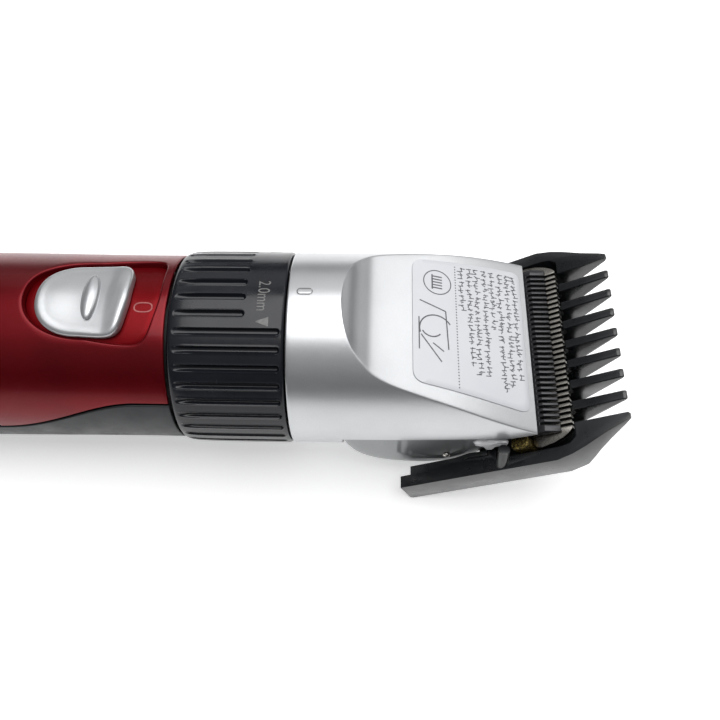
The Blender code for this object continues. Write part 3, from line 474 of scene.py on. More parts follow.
def refined(node, round_edges, finish=None, segments=2):
    """A finer stand-in for a CAD piece: its flat facets are joined and its edges rounded."""
    bm = bmesh.new()
    bm.from_mesh(NODES[node].data)
    bmesh.ops.remove_doubles(bm, verts=bm.verts, dist=1e-6)
    bmesh.ops.dissolve_limit(bm, angle_limit=math.radians(FLAT_ANGLE), verts=bm.verts, edges=bm.edges)
    mesh = bpy.data.meshes.new(f"{node}.fine")
    bm.to_mesh(mesh)
    bm.free()
    made = bpy.data.objects.new(f"{node}.fine", mesh)
    bpy.context.scene.collection.objects.link(made)
    slot = SLOT_OF[node]
    mesh.materials.clear()
    mesh.materials.append(MATERIALS[finish or slot])
    add_bevel(made, round_edges, segments)
    finish_mesh(made, REFINED_SMOOTH_ANGLE)
    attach(made, NODES[node]["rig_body"])
    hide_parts(node)


# ---------------------------------------------------------------- grip

GRIP_R = 19.6                 # just behind the ring
BLEND_START = -30.0           # from here back the grip fills out and its parting line drops
BLEND_REACH = 30.0
GRIP_FULLER = 0.2
TAPER_START = -70.0
TAPER_REACH = 40.0
TAIL_START = -97.0            # from here back the grip rounds off
TAIL_REACH = 19.0
TAIL_DROP = 4.2
PARTING_GAP = 1.3             # in degrees, between the two shells
GRIP_STEP = 1.4
RECESS_MIDDLE = -38.6
RECESS_SHIFT = 0.8            # the recess sits a little towards +Y
RECESS_RIM = 0.4              # how wide its rounded rim is
BLOCK_REAR = -60.0
SHARES = [i / 24 - 1 for i in range(49)]      # across the upper shell, from one parting line to the other

# Shield-shaped outlines: the lengths and powers of their front and rear halves, their half width in the
# middle and in the front corners, and how much of the front edge is cut back towards -Y
RECESS = {"front": 13.6, "rear": 13.2, "half": 9.416, "corner_half": 10.7,
          "front_power": 9.0, "rear_power": 2.25, "cut_back": 0.29}
SLIDER = {"front": 9.3, "rear": 9.2, "half": 8.35, "corner_half": 8.684,
          "front_power": 6.5, "rear_power": 2.3, "cut_back": 0.22}


def grip_radius(x):
    fuller = GRIP_FULLER * smooth_step((BLEND_START - x) / BLEND_REACH)
    taper = smooth_step((TAPER_START - x) / TAPER_REACH)
    tail = TAIL_DROP * max(0.0, (TAIL_START - x) / TAIL_REACH) ** 2
    return GRIP_R + fuller - taper - tail


def grip_point(x, degrees, sunk=0.0):
    near = max(0.0, 1 - ((x - BELLY_X) / BELLY_REACH) ** 2)
    swell = BELLY_SWELL * near * near * max(0.0, -math.cos(math.radians(degrees))) ** 2
    return on_tube(x, degrees, grip_radius(x) + swell - sunk)


def parting_angle(x):
    share = smooth_step((BLEND_START - x) / BLEND_REACH)
    return PART_ANGLE_FRONT + (PART_ANGLE_REAR - PART_ANGLE_FRONT) * share


def shield_reach(direction, shape):
    """How far a shield-shaped outline is from its middle, in a direction measured from the front."""
    c, s = math.cos(direction), math.sin(direction)
    if c < 0:
        length, width, power = shape["rear"], shape["half"], shape["rear_power"]
    else:
        # The sides open out towards the front and meet a gently bowed front edge in tight corners.
        length = shape["front"] * (1 - shape["cut_back"] * max(0.0, -s) ** 1.5)
        width = shape["half"] + (shape["corner_half"] - shape["half"]) * min(1.0, 1.3 * c)
        power = shape["front_power"]
    return (abs(c / length) ** power + abs(s / width) ** power) ** (-1 / power)


def around_recess(direction, reach):
    """The place on the grip, as x and degrees, that is some way from the recess's middle."""
    x = RECESS_MIDDLE + reach * math.cos(direction)
    return x, math.degrees((reach * math.sin(direction) + RECESS_SHIFT) / grip_radius(x))


def block_border():
    """The rectangle of grip round the recess, in order, as x and a share of the parting angle."""
    xs = stations(GRIP_FRONT, BLOCK_REAR, 1.0, (0.0, 0.1, 0.3))
    border = [(GRIP_FRONT, share) for share in SHARES]
    border += [(x, 1.0) for x in xs[1:]]
    border += [(BLOCK_REAR, share) for share in reversed(SHARES[:-1])]
    border += [(x, -1.0) for x in reversed(xs[1:-1])]
    return border


def upper_point(x, degrees):
    """A point of the upper shell's skin, which drops at its front edge and at its parting edges."""
    side = abs(parting_angle(x) - abs(degrees)) * math.radians(1) * grip_radius(x)
    return grip_point(x, degrees, edge_drop(min(GRIP_FRONT - x, side, x - GRIP_REAR + 0.05)))


def build_upper_shell():
    bm = bmesh.new()
    border = block_border()
    columns = []
    for x, share in border:
        arc = math.radians(share * parting_angle(x)) * grip_radius(x) - RECESS_SHIFT
        columns.append((math.atan2(arc, x - RECESS_MIDDLE), math.hypot(arc, x - RECESS_MIDDLE)))
    rows = []
    # Up the recess's wall, round its bright rim and out to the border.
    for outside, sunk in ((-0.05, RECESS_DEPTH), (-0.02, 1.2), (0.0, 0.55), (0.03, 0.32), (0.1, 0.15),
                          (0.22, 0.04), (RECESS_RIM, 0.0)):
        row = []
        for direction, _ in columns:
            x, degrees = around_recess(direction, shield_reach(direction, RECESS) + outside)
            row.append(grip_point(x, degrees, sunk))
        rows.append(row)
    for t in (0.06, 0.13, 0.22, 0.32, 0.44, 0.57, 0.7, 0.82, 0.91, 0.965, 0.985):
        row = []
        for direction, far in columns:
            near = shield_reach(direction, RECESS) + RECESS_RIM
            row.append(upper_point(*around_recess(direction, near + (far - near) * t)))
        rows.append(row)
    rows.append([upper_point(x, share * parting_angle(x)) for x, share in border])
    grid(bm, rows, around=True)
    rows = []
    for x in stations(BLOCK_REAR, GRIP_REAR, GRIP_STEP, (0.0, 0.1)):
        rows.append([upper_point(x, share * parting_angle(x)) for share in SHARES])
    grid(bm, rows)
    piece("upper_shell.skin", bm, "shell_red", "handle", ["upper_shell"], wall=SHELL_T)


def build_lower_shell():
    bm = bmesh.new()
    rows = []
    for x in stations(GRIP_FRONT, GRIP_REAR, GRIP_STEP):
        start = parting_angle(x) + PARTING_GAP
        arc = math.radians(1) * grip_radius(x)
        row = []
        for degrees in stations(start, 360 - start, 0, (0.0, 0.2, 0.5, 1.0), 64):
            side = min(degrees - start, 360 - start - degrees) * arc
            sunk = edge_drop(min(side, GRIP_FRONT - x, x - GRIP_REAR + 0.05), 0.25)
            row.append(grip_point(x, degrees, sunk))
        rows.append(row)
    grid(bm, rows)
    # The belly is flat where the clipper rests on it.
    floor_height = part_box("lower_shell")[0].z
    to_tube = TUBE.inverted()
    for vert in bm.verts:
        place = TUBE @ vert.co
        if place.z < floor_height:
            place.z = floor_height
            vert.co = to_tube @ place
    piece("lower_shell.skin", bm, "shell_dark", "handle", ["lower_shell"], wall=SHELL_T)


# ---------------------------------------------------------------- power switch

SLIDER_MIDDLE = -40.1
SLIDER_R = 20.0               # what its width is bent round
SLIDER_RIM = 20.25
SLIDER_EDGE_TOP = 20.24       # where its rounded edge meets its top
SLIDER_EDGE_ROUND = 0.9
SLIDER_GAP = 0.3              # above the floor of the recess
SLIDER_POINTS = 144
SLIDER_RINGS = 36
RIDGE_X = -38.3
RIDGE_RADII = (1.7, 5.1, 1.15)
PLATE_T = 0.8
PLATE_GAP = 0.12              # between the plate and the recess's wall
PLATE_POINTS = 120
MARK_MIDDLE = (-28.2, -1.3)
MARK_HALF = (1.75, 1.0)
MARK_STROKE = 0.12            # half the width of its line
MARK_LIFT = 0.04
MARK_POINTS = 48


def slider_lip(x):
    return 0.25 * smooth_step((x + 35.5) / 3.0)


def slider_top(x, y):
    """The slider's top: level with the grip at the rear, dished in the middle, with a raised lip in front."""
    dish = 0.42 * math.exp(-((x + 39.5) / 6.0) ** 2 - (y / 6.5) ** 2)
    return SLIDER_RIM + slider_lip(x) - dish


def slider_row(inside, share, radius_at):
    """A ring of points at a share of the slider's outline, drawn some way inside it."""
    row = []
    for i in range(SLIDER_POINTS):
        direction = 2 * math.pi * i / SLIDER_POINTS
        reach = (shield_reach(direction, SLIDER) - inside) * share
        x = SLIDER_MIDDLE + reach * math.cos(direction)
        y = reach * math.sin(direction)
        row.append(on_tube(x, math.degrees(y / SLIDER_R), radius_at(x, y)))
    return row


def build_slider():
    # The underside follows the recess's round floor.
    rows = []
    for share in (0.02, 0.3, 0.6, 0.85, 1.0):
        rows.append(slider_row(0.0, share, lambda x, y: PLATE_R + SLIDER_GAP))
    # The edge rounds over.
    for inside, height in ((0.0, 19.35), (0.1, 19.75), (0.28, 20.0), (0.55, 20.16),
                           (SLIDER_EDGE_ROUND, SLIDER_EDGE_TOP)):
        lifted = smooth_step((height - 19.3) / 0.9)
        rows.append(slider_row(inside, 1.0, lambda x, y: height + slider_lip(x) * lifted))
    for k in range(1, SLIDER_RINGS + 1):
        share = 1 - k / SLIDER_RINGS
        blend = smooth_step((1 - share) * 6)

        def blended(x, y):
            edge = SLIDER_EDGE_TOP + slider_lip(x)
            return edge + (slider_top(x, y) - edge) * blend

        rows.append(slider_row(SLIDER_EDGE_ROUND, share, blended))
    bm = bmesh.new()
    grid(bm, rows, around=True)
    bmesh.ops.remove_doubles(bm, verts=bm.verts, dist=WELD)
    close_holes(bm)
    piece("power_slider.cap", bm, "slider_silver", "switch", ["power_slider"],
          smooth_angle=50.0)
    ellipsoid("power_slider.ridge", (RIDGE_X, 0.0, SLIDER_RIM - 0.45), RIDGE_RADII, 64, 32,
              "slider_silver", "switch")


def build_switch_plate():
    bm = bmesh.new()
    rows = []
    for share, sunk in ((1.0, 0.5), (1.0, 0.08), (0.99, 0.0), (0.9, 0.0), (0.75, 0.0), (0.5, 0.0),
                        (0.25, 0.0), (0.02, 0.0)):
        row = []
        for i in range(PLATE_POINTS):
            direction = 2 * math.pi * i / PLATE_POINTS
            reach = (shield_reach(direction, RECESS) - PLATE_GAP) * share
            arc = reach * math.sin(direction) + RECESS_SHIFT
            x = RECESS_MIDDLE + reach * math.cos(direction)
            row.append(on_tube(x, math.degrees(arc / PLATE_R), PLATE_R - sunk))
        rows.append(row)
    grid(bm, rows, around=True)
    close_holes(bm, PLATE_R - 0.1)
    piece("switch_plate.floor", bm, "plate_red", "handle", ["switch_plate"], wall=PLATE_T)


def build_off_mark():
    """The 0 printed in front of the slider."""
    rows = []
    for width, lift in ((MARK_STROKE, 0.0), (MARK_STROKE, MARK_LIFT), (-MARK_STROKE, MARK_LIFT),
                        (-MARK_STROKE, 0.0)):
        row = []
        for i in range(MARK_POINTS):
            angle = 2 * math.pi * i / MARK_POINTS
            c, s = math.cos(angle), math.sin(angle)
            x = MARK_MIDDLE[0] + (MARK_HALF[0] + width) * math.copysign(abs(c) ** 0.75, c)
            y = MARK_MIDDLE[1] + (MARK_HALF[1] + width) * math.copysign(abs(s) ** 0.75, s)
            row.append(on_tube(x, math.degrees(y / PLATE_R), PLATE_R + lift))
        rows.append(row)
    bm = bmesh.new()
    grid(bm, rows + rows[:1], around=True)
    piece("off_mark", bm, "ink_rose", "handle", outward=False)


# ---------------------------------------------------------------- length ring

RING_PROFILE = ((RING_REAR, 19.7), (-22.3, 20.0), (-21.6, 20.2), (-19.5, 20.4), (-17.0, RING_R - 0.03),
                (-10.0, RING_R), (-0.8, RING_R), (-0.35, 20.35), (RING_FRONT, 20.0))
FLUTE_LIP = 0.05              # the raised lip round each flute
NUMBER_X = -5.5
NUMBER_HEIGHT = 2.35
NUMBER_SQUEEZE = 0.76
NUMBER_FIRST = 58.0           # the angles of the three smaller settings
NUMBER_PITCH = 26.0
FIGURE_SHARE = 0.7            # how tall a figure is in a font of size 1


def flute_end(index):
    degrees = 360 * index / FLUTES
    return FLUTE_SHORT_END if (degrees + 10) % 360 <= 140 else FLUTE_LONG_END


def flute_depth(x, across, end):
    """The depth of one flute at a point, with round ends, sloping walls and a tiny raised lip."""
    low, high = FLUTE_REAR + FLUTE_HALF, end - FLUTE_HALF
    beyond = max(0.0, low - x, x - high)
    distance = math.hypot(beyond, across) - FLUTE_HALF
    if distance > 0:
        return -FLUTE_LIP * math.exp(-(distance / 0.12) ** 2)
    run_out = smooth_step((x - FLUTE_REAR + 0.2) / 3.0)
    return (FLUTE_DEPTH * smooth_step(-distance / 0.42) - FLUTE_LIP) * (0.25 + 0.75 * run_out)


def build_ring():
    # The stations are close together at the rear edge and where the short and the long flutes end.
    xs = [RING_REAR, -22.4, -22.2, -21.9, -21.6, -21.3, -21.0, -20.7, -20.3, -19.8, -19.2, -18.4, -17.2]
    xs += [-15.6, -14.0, -12.4, -11.0, -9.8, -9.1]
    xs += [-8.8 + 0.11 * i for i in range(12)] + [-7.3, -6.6, -5.4, -4.2, -3.0, -2.2]
    xs += [-1.9 + 0.11 * i for i in range(12)] + [-0.5, -0.35, -0.25, RING_FRONT]
    beside = (0.25, 0.42, 0.54, 0.66, 0.74, 0.82, 0.95, 1.2)
    half_pitch = math.pi * RING_R / FLUTES
    offsets = [-across for across in reversed(beside)] + [0.0, *beside, half_pitch]
    rows = []
    for x in xs:
        row = []
        for flute in range(FLUTES):
            end = flute_end(flute)
            for across in offsets:
                nearest = min(end, flute_end((flute + 1) % FLUTES)) if across > beside[-1] else end
                radius = curve_value(RING_PROFILE, x) - flute_depth(x, across, nearest)
                row.append(on_tube(x, 360 * flute / FLUTES + math.degrees(across / RING_R), radius))
        rows.append(row)
    angles = [360 * flute / FLUTES + math.degrees(across / RING_R)
              for flute in range(FLUTES) for across in offsets]
    for x, radius in ((RING_FRONT, 19.7), (RING_FRONT, RING_BORE + 0.1), (RING_FRONT - 0.1, RING_BORE),
                      (RING_REAR + 0.1, RING_BORE), (RING_REAR, RING_BORE + 0.1), (RING_REAR, 18.8)):
        rows.append([on_tube(x, degrees, radius) for degrees in angles])
    bm = bmesh.new()
    grid(bm, rows + rows[:1], around=True)
    piece("length_ring.body", bm, "ring_black", "ring", ["adjusting_ring"], smooth_angle=60.0)


def ring_number(name, words, middle):
    """Raised numbers bent round the ring. They read from +Y towards -Y, with their tops towards +X."""
    curve = bpy.data.curves.new(name, "FONT")
    curve.body = words
    curve.size = NUMBER_HEIGHT / FIGURE_SHARE
    curve.extrude = 0.03
    curve.resolution_u = 4
    holder = bpy.data.objects.new(name, curve)
    bpy.context.scene.collection.objects.link(holder)
    bpy.context.view_layer.update()
    graph = bpy.context.evaluated_depsgraph_get()
    mesh = bpy.data.meshes.new_from_object(holder.evaluated_get(graph))
    bpy.data.objects.remove(holder, do_unlink=True)
    bm = bmesh.new()
    bm.from_mesh(mesh)
    bmesh.ops.remove_doubles(bm, verts=bm.verts, dist=WELD)
    left = min(vert.co.x for vert in bm.verts)
    right = max(vert.co.x for vert in bm.verts)
    for vert in bm.verts:
        arc = (vert.co.x - (left + right) / 2) * NUMBER_SQUEEZE
        degrees = middle - math.degrees(arc / RING_R)
        vert.co = on_tube(NUMBER_X + vert.co.y, degrees, RING_R + 0.02 + vert.co.z)
    piece(name, bm, "ink_grey", "ring", smooth_angle=30.0, outward=False)


def build_ring_marks():
    ring_number("ring_number_20", "2.0mm", 1.2)
    for index, words in enumerate(("1.6", "1.2", "0.8")):
        ring_number(f"ring_number_{words[0]}{words[2]}", words,
                    NUMBER_FIRST + NUMBER_PITCH * index)
    # The pointer: a flat triangle with a blunt tip.
    corners = ((-3.1, -11.8), (-3.1, -17.2), (-5.5, -14.8), (-5.5, -14.2))
    bm = bmesh.new()
    rows = [[on_tube(x, degrees, RING_R + lift) for x, degrees in corners] for lift in (0.05, -0.05)]
    top, base = grid(bm, rows, around=True)
    bm.faces.new(top)
    bm.faces.new(list(reversed(base)))
    piece("ring_pointer", bm, "ink_grey", "ring", outward=False)


# ---------------------------------------------------------------- head

HEAD_T = 1.5
SIDE_STEPS = 22
FACE_STEPS = 24
UNDER_STEPS = 26
HEAD_REAR = 0.15
WINDOW_X = 3.5
WINDOW_ANGLE = 4.2
WINDOW_HALF = 0.78
WINDOW_STRAIGHT = 0.8         # half of its straight stretch
MOUTH_REAR = 34.4             # the chin is open below the blades, from here forwards
MOUTH_HALF = 16.5
CHEEK = ((19.4, -2.0), (20.6, -6.7), (23.5, -10.7), (27.9, -14.0), (31.8, -14.4), (36.1, -11.2), (38.0, -5.2))
CHEEK_DEPTH = 0.4
STUD = (33.1, 19.5, -12.7)
STUD_RADII = (0.8, 0.55, 0.8)


def edge_height(x):
    for (x0, z0), (x1, z1) in zip(SIDE_EDGE, SIDE_EDGE[1:]):
        if x <= x1:
            return z0 + (z1 - z0) * max(0.0, (x - x0)) / (x1 - x0)
    return SIDE_EDGE[-1][1]


def head_section(x):
    """The head's section behind its sloping face, from the near lower edge over the face to the far one."""
    low_angle = math.degrees(math.acos(edge_height(x) / HEAD_R))
    face_z = min(HEAD_R, curve_value(FACE, x))
    crease_angle = math.degrees(math.acos(face_z / HEAD_R))
    crease_y = HEAD_R * math.sin(math.radians(crease_angle))
    soften = min(0.28, 0.3 * crease_y)
    start = crease_angle + math.degrees(soften / HEAD_R)
    half = [on_tube(x, low_angle + (start - low_angle) * i / SIDE_STEPS, HEAD_R)
            for i in range(SIDE_STEPS + 1)]
    first = half[-1]
    last = Vector((x, crease_y - soften, face_z))
    corner = Vector((x, crease_y, face_z))
    for t in (0.25, 0.5, 0.75):
        half.append(first * (1 - t) ** 2 + corner * 2 * t * (1 - t) + last * t ** 2)
    half += [Vector((x, (crease_y - soften) * (1 - i / FACE_STEPS), face_z)) for i in range(FACE_STEPS + 1)]
    mirror = [Vector((p.x, -p.y, p.z)) for p in reversed(half[:-1])]
    return half + mirror


def build_head():
    bm = bmesh.new()
    xs = [COLLAR_FRONT + 0.02 * k * k for k in range(10)]
    xs += [xs[-1] + 0.42 * k for k in range(1, 16)]
    xs += [xs[-1] + (HEAD_FRONT - xs[-1]) * k / 34 for k in range(1, 35)]
    grid(bm, [head_section(x) for x in xs])
    # The round collar behind the face, whose upper rows meet the section above.
    low_angle = math.degrees(math.acos(edge_height(COLLAR_FRONT) / HEAD_R))
    upper = [low_angle * (1 - i / SIDE_STEPS) for i in range(SIDE_STEPS)]
    upper += [0.0] + [-degrees for degrees in reversed(upper)]
    lower = [-low_angle - (360 - 2 * low_angle) * i / UNDER_STEPS for i in range(1, UNDER_STEPS)]
    rows = []
    for x in stations(HEAD_REAR, COLLAR_FRONT, 0.9, (0.0, 0.07, 0.18, 0.36)):
        sunk = edge_drop(x - HEAD_REAR, 0.34)
        rows.append([on_tube(x, degrees, HEAD_R - sunk) for degrees in upper + lower])
    grid(bm, rows, around=True)
    piece("head_shell.skin", bm, "head_silver", "handle", ["head_shell"], wall=HEAD_T,
          smooth_angle=32.0)


def window_row(grow, lift):
    """A ring of points round the index window, grown outwards and lifted off the collar."""
    row = []
    for i in range(40):
        c, s = math.cos(2 * math.pi * i / 40), math.sin(2 * math.pi * i / 40)
        x = WINDOW_X + math.copysign(WINDOW_STRAIGHT, c) + (WINDOW_HALF + grow) * c
        arc = (WINDOW_HALF + grow) * s
        row.append(on_tube(x, WINDOW_ANGLE + math.degrees(arc / HEAD_R), HEAD_R + lift))
    return row


def build_index_mark():
    """The small window in the collar that the numbers are read against: a grey rim, painted shade for the
    window's shadowed walls, round a silver floor.
    """
    rows = [window_row(0.0, -0.1), window_row(0.0, 0.05), window_row(-0.07, 0.09), window_row(-0.2, 0.07),
            window_row(-0.25, -0.1)]
    bm = bmesh.new()
    grid(bm, rows + rows[:1], around=True)
    # The rim's grey is painted shade where the window's walls fall into shadow.
    piece("index_window.shaded_rim", bm, "lead_grey", "handle", smooth_angle=60.0, outward=False)
    rows = [window_row(-0.2, -0.15), window_row(-0.2, 0.02), window_row(-0.24, 0.03), window_row(-0.7, 0.03)]
    bm = bmesh.new()
    grid(bm, rows, around=True)
    close_holes(bm)
    piece("index_window.floor", bm, "slider_silver", "handle", smooth_angle=60.0,
          outward=False)


def cheek_depth(x, z):
    """How far the side of the chin is let in, above a curved crease."""
    if not CHEEK[0][0] < x < CHEEK[-1][0]:
        return 0.0
    ends = smooth_step((x - CHEEK[0][0]) / 1.2) * smooth_step((CHEEK[-1][0] - x) / 1.2)
    return CHEEK_DEPTH * ends * smooth_step((z - curve_value(CHEEK, x)) / 0.45 + 0.5)


def chin_row(x, sunk):
    """The chin's section at a station, from one lower edge of the head round to the other."""
    depth, power = (curve_value([(row[0], row[index]) for row in CHIN], x) for index in (1, 2))
    depth -= sunk
    top = edge_height(x) - 0.3
    start = math.asin(min(1.0, (-top / depth) ** (power / 2)))
    row = []
    for i in range(129):
        angle = start + (math.pi - 2 * start) * (1 - i / 128)
        across = abs(math.cos(angle)) ** (2 / power) * (CHIN_HALF - sunk)
        down = abs(math.sin(angle)) ** (2 / power) * depth
        across = max(0.0, across - cheek_depth(x, -down) * smooth_step(across / 10 - 0.8))
        row.append(Vector((x, math.copysign(across, math.cos(angle)), -down)))
    return row


def build_chin():
    bm = bmesh.new()
    xs = stations(CHIN[0][0], CHIN[-1][0], 0.45, (0.0, 0.1, 0.3))
    grid(bm, [chin_row(x, edge_drop(min(x - xs[0], xs[-1] - x), 0.35)) for x in xs])
    mouth = []
    for face in bm.faces:
        middle = (face.verts[0].co + face.verts[2].co) / 2
        if middle.x > MOUTH_REAR and abs(middle.y) < MOUTH_HALF:
            mouth.append(face)
    bmesh.ops.delete(bm, geom=mouth, context="FACES")
    # The chin's silver is darkened as painted shade.
    piece("head_lower_housing.skin", bm, "chin_shaded_silver", "handle", ["head_lower_housing"],
          wall=HEAD_T, smooth_angle=38.0)
    for side, name in ((-1, "pivot_stud_near"), (1, "pivot_stud_far")):
        ellipsoid(name, (STUD[0], side * STUD[1], STUD[2]), STUD_RADII, 24, 14,
                  "nickel", "handle")


# ---------------------------------------------------------------- label

LABEL_REAR = 24.7
LABEL_FRONT = 48.8
LABEL_HALF_REAR = 14.2
LABEL_HALF_FRONT = 17.0
LABEL_SHIFT = 0.7
LABEL_LIFT = 0.22
LABEL_ROUND = 2.4
DOTS_X = 33.9
PRINT_LIFT = LABEL_LIFT + 0.04
DRAWING_LIFT = LABEL_LIFT + 0.05

# The lines of print: where each is, and where it starts and ends across the face
PRINT_LINES = ((47.2, 16.0, -9.2), (45.5, 16.0, -11.9), (43.8, 15.9, -13.0), (42.1, 15.7, 1.2),
               (40.4, 15.6, -10.0), (38.5, 15.4, -10.1), (36.9, 15.2, -9.4), (35.2, 15.0, 2.9))


def label_half(x):
    share = (x - LABEL_REAR) / (LABEL_FRONT - LABEL_REAR)
    return LABEL_HALF_REAR + (LABEL_HALF_FRONT - LABEL_HALF_REAR) * share


def label_outline(inset):
    """The label's rounded outline as (x, y), a little inside its edge."""
    rear, front = LABEL_REAR + inset, LABEL_FRONT - inset
    corners = [Vector((x, sign * (label_half(x) - inset) + LABEL_SHIFT))
               for x, sign in ((rear, -1), (front, -1), (front, 1), (rear, 1))]
    points = []
    reach = LABEL_ROUND - inset
    for i, here in enumerate(corners):
        far = corners[(i + 1) % 4]
        before = (corners[i - 1] - here).normalized() * reach
        after = (far - here).normalized() * reach
        for k in range(9):
            t = k / 8
            points.append(here + before * (1 - t) ** 2 + after * t ** 2)
        for k in range(1, 12):
            points.append(here + after + (far - here - after - after) * k / 12)
    return points


def on_face(x, y, lift):
    return Vector((x, y, curve_value(FACE, x) + lift))


def build_label():
    rows = []
    for inset, lift in ((0.0, 0.02), (0.0, LABEL_LIFT - 0.06), (0.06, LABEL_LIFT)):
        rows.append([on_face(point.x, point.y, lift) for point in label_outline(inset)])
    middle = Vector(((LABEL_REAR + LABEL_FRONT) / 2, LABEL_SHIFT))
    outline = label_outline(0.06)
    for k in range(1, 13):
        share = 1 - k / 12
        rows.append([on_face(*(middle + (point - middle) * share), LABEL_LIFT) for point in outline])
    bm = bmesh.new()
    grid(bm, rows, around=True)
    bmesh.ops.remove_doubles(bm, verts=bm.verts, dist=WELD)
    close_holes(bm)
    piece("face_label.film", bm, "label_film", "handle", ["face_label"], smooth_angle=45.0,
          outward=False)


def ribbon(bm, points, width, lift):
    """A thin raised stroke that follows points of the face."""
    rows = []
    for i, here in enumerate(points):
        ahead = points[min(i + 1, len(points) - 1)]
        behind = points[max(i - 1, 0)]
        run = (ahead - behind).normalized()
        across = Vector((-run.y, run.x)) * width / 2
        left, right = here + across, here - across
        low = lift - 0.05
        rows.append([on_face(*left, lift), on_face(*right, lift), on_face(*right, low), on_face(*left, low)])
    lines = grid(bm, rows, around=True)
    bm.faces.new(lines[0])
    bm.faces.new(lines[-1])


def squiggles(bm, x, start, end, rng):
    """A line of greeked print: word-long wavy strokes of uneven length that say nothing."""
    y = start
    while y > end + 0.8:
        stop = max(end, y - rng.uniform(1.0, 3.4))
        points = []
        while y > stop:
            points.append(Vector((x + rng.uniform(-0.42, 0.42), y)))
            y -= rng.uniform(0.16, 0.34)
        if len(points) > 2:
            ribbon(bm, points, 0.19, PRINT_LIFT)
            for tall in points[1::4]:
                ribbon(bm, [tall - Vector((0.5, 0.05)), tall + Vector((0.6, 0.12))], 0.17, PRINT_LIFT)
        y = stop - rng.uniform(0.35, 0.55)


def arc_points(middle, radius, degrees):
    """Points of the face on a circle, at each of the angles."""
    return [Vector(middle) + Vector((math.cos(math.radians(a)), math.sin(math.radians(a)))) * radius
            for a in degrees]


def draw_picture(bm):
    """A plain picture: a small comb in a circle, two arcs and a few straight strokes."""
    ribbon(bm, arc_points((30.0, 10.0), 2.9, [9 * i for i in range(42)]), 0.2, DRAWING_LIFT)
    for k in range(5):
        y = 11.4 - 0.7 * k
        ribbon(bm, [Vector((29.0, y)), Vector((31.0, y))], 0.26, DRAWING_LIFT)
    ribbon(bm, [Vector((28.9, 8.2)), Vector((28.9, 10.0)), Vector((28.9, 11.8))], 0.3, DRAWING_LIFT)
    ribbon(bm, arc_points((29.5, -1.5), 3.4, range(30, 200, 8)), 0.26, DRAWING_LIFT)
    ribbon(bm, arc_points((28.6, -1.0), 2.2, range(210, 330, 8)), 0.26, DRAWING_LIFT)
    for start, end in (((26.2, 5.0), (31.6, 3.2)), ((31.6, 3.2), (32.0, -5.6)), ((26.4, -3.0), (30.5, -8.6)),
                       ((26.0, 1.0), (26.0, -6.4)), ((28.8, -4.6), (31.0, -6.2))):
        first, last = Vector(start), Vector(end)
        ribbon(bm, [first, (first + last) / 2, last], 0.24, DRAWING_LIFT)


def build_print():
    rng = random.Random(7)
    bm = bmesh.new()
    for x, start, end in PRINT_LINES:
        squiggles(bm, x, start, end, rng)
    # A dotted line beside the print.
    for i in range(44):
        y = 14.9 - i * 0.66
        ribbon(bm, [Vector((DOTS_X, y)), Vector((DOTS_X, y - 0.24))], 0.24, PRINT_LIFT)
    draw_picture(bm)
    piece("label_print", bm, "ink_dark", "handle", smooth_angle=30.0, outward=False)


# ---------------------------------------------------------------- everything else that the CAD shapes well

# How far the edges of each piece are rounded
FINE_EDGES = {
    "tail_cap": 0.25, "charging_socket": 0.15, "socket_pin": 0.15, "status_led": 0.15, "circuit_board": 0.1,
    "switch_body": 0.25, "battery_cell": 0.4, "battery_tab_front": 0.08, "battery_tab_rear": 0.08,
    "battery_cradle": 0.2, "casing_screw_front": 0.15, "casing_screw_rear": 0.15, "ring_cam": 0.1,
    "pusher": 0.25, "motor_can": 0.4, "motor_end_bell": 0.3, "motor_mount": 0.15, "motor_screw_near": 0.15,
    "motor_screw_far": 0.15, "motor_shaft": 0.15, "eccentric_cam": 0.2, "moving_blade": 0.1,
    "blade_driver": 0.12, "setting_slide": 0.05, "blade_frame": 0.2, "blade_screw_near": 0.15,
    "blade_screw_far": 0.15, "side_block_near": 0.12, "side_block_far": 0.12, "side_clip_near": 0.12,
    "side_clip_far": 0.12, "hinge_pin": 0.15, "hinge_bracket": 0.2,
}
WIRES = ("motor_lead_near", "motor_lead_far", "ring_detent_spring", "blade_spring_near", "blade_spring_far")


def build_refined():
    for node, edge in FINE_EDGES.items():
        refined(node, edge)
    refined("neck_tube", 0.15, "lead_black")
    refined("fixed_blade", 0.14, "blade_steel")
    refined("guide_comb", 0.42, segments=3)
    for node in WIRES:
        slots = NODES[node].data.materials
        slots.clear()
        slots.append(MATERIALS[SLOT_OF[node]])


# ---------------------------------------------------------------- studio

def build_floor():
    bm = bmesh.new()
    bmesh.ops.create_grid(bm, x_segments=1, y_segments=1, size=3.0)
    mesh = bpy.data.meshes.new("floor")
    bm.to_mesh(mesh)
    bm.free()
    made = bpy.data.objects.new("floor", mesh)
    bpy.context.scene.collection.objects.link(made)
    paper = bpy.data.materials.new("floor_paper")
    paper.use_nodes = True
    shader = paper.node_tree.nodes["Principled BSDF"]
    shader.inputs["Base Color"].default_value = (0.9, 0.9, 0.9, 1.0)
    shader.inputs["Roughness"].default_value = 0.9
    shader.inputs["Emission Color"].default_value = (1.0, 1.0, 1.0, 1.0)
    shader.inputs["Emission Strength"].default_value = 0.48
    mesh.materials.append(paper)


def area_light(name, place, target, size, power):
    data = bpy.data.lights.new(name, "AREA")
    data.shape = "RECTANGLE"
    data.size, data.size_y = size
    data.energy = power
    made = bpy.data.objects.new(name, data)
    bpy.context.scene.collection.objects.link(made)
    made.location = place
    made.rotation_euler = (Vector(target) - Vector(place)).to_track_quat("-Z", "Y").to_euler()


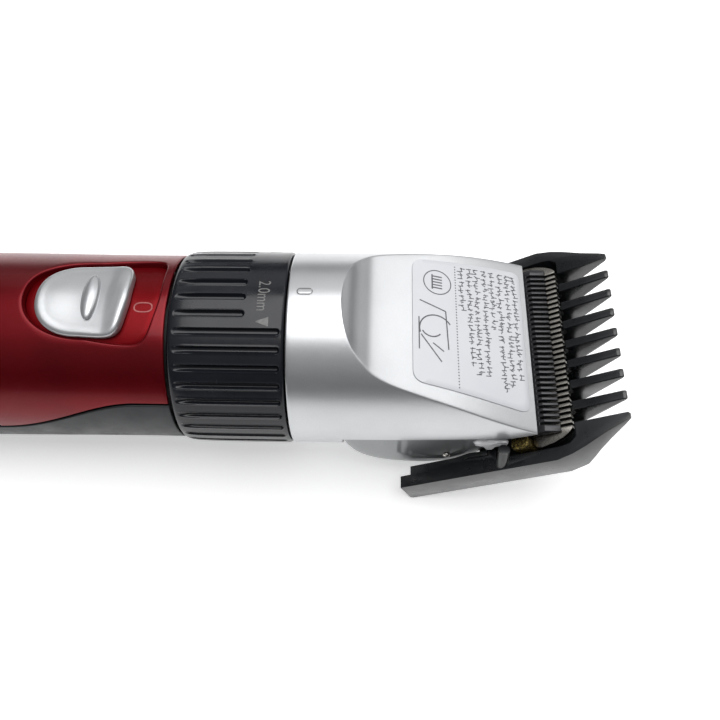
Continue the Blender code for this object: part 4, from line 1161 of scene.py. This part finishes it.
def build_studio():
    world = bpy.data.worlds.new("studio")
    bpy.context.scene.world = world
    world.use_nodes = True
    tree = world.node_tree
    background = tree.nodes["Background"]
    coordinates = tree.nodes.new("ShaderNodeTexCoord")
    split = tree.nodes.new("ShaderNodeSeparateXYZ")
    ramp = tree.nodes.new("ShaderNodeValToRGB")
    tree.links.new(coordinates.outputs["Generated"], split.inputs["Vector"])
    tree.links.new(split.outputs["Z"], ramp.inputs["Fac"])
    tree.links.new(ramp.outputs["Color"], background.inputs["Color"])
    ramp.color_ramp.elements[0].position = 0.3
    ramp.color_ramp.elements[0].color = (0.05, 0.05, 0.055, 1)
    ramp.color_ramp.elements[1].position = 0.95
    ramp.color_ramp.elements[1].color = (0.62, 0.62, 0.63, 1)
    background.inputs["Strength"].default_value = 0.75
    area_light("overhead", (0.0, 0.075, 0.55), (0.0, 0.0, 0.02), (0.5, 0.5), 2.6)
    area_light("far_side", (0.0, 0.60, 0.39), (0.0, 0.0, 0.02), (0.9, 0.34), 0.58)
    area_light("front_fill", (0.42, 0.30, 0.46), (0.06, 0.0, 0.02), (0.34, 0.34), 0.62)
    bpy.context.scene.view_settings.view_transform = "Standard"


# Where the camera stands, in the tube frame: two angles and a roll, in degrees, and lengths in millimetres
CAMERA_AZIMUTH = 3.677
CAMERA_ELEVATION = 62.836
CAMERA_ROLL = -2.469
CAMERA_DISTANCE = 156.0
CAMERA_RIGHT = 13.71
CAMERA_UP = -3.345
FOCAL_SHARE = 0.99415         # focal length over the picture's width


def build_camera():
    azimuth, elevation, roll = (math.radians(a) for a in (CAMERA_AZIMUTH, CAMERA_ELEVATION, CAMERA_ROLL))
    back = Vector((math.sin(azimuth) * math.cos(elevation), -math.cos(azimuth) * math.cos(elevation),
                   math.sin(elevation)))
    right = Vector((math.cos(azimuth), math.sin(azimuth), 0))
    up = back.cross(right)
    place = back * CAMERA_DISTANCE + right * CAMERA_RIGHT + up * CAMERA_UP
    rolled_right = right * math.cos(roll) + up * math.sin(roll)
    rolled_up = up * math.cos(roll) - right * math.sin(roll)
    turn = TUBE.to_3x3().normalized()
    axes = [turn @ axis for axis in (rolled_right, rolled_up, back)]
    origin = TUBE @ place
    data = bpy.data.cameras.new("photo_view")
    data.sensor_width = 36.0
    data.lens = 36.0 * FOCAL_SHARE
    data.clip_start = 0.005
    data.clip_end = 20.0
    made = bpy.data.objects.new("photo_view", data)
    bpy.context.scene.collection.objects.link(made)
    rows = [(axes[0][i], axes[1][i], axes[2][i], origin[i]) for i in range(3)]
    made.matrix_world = Matrix((*rows, (0, 0, 0, 1)))
    bpy.context.scene.camera = made


build_camera()
build_studio()
build_floor()
build_upper_shell()
build_lower_shell()
build_slider()
build_switch_plate()
build_off_mark()
build_ring()
build_ring_marks()
build_head()
build_index_mark()
build_chin()
build_label()
build_print()
build_refined()
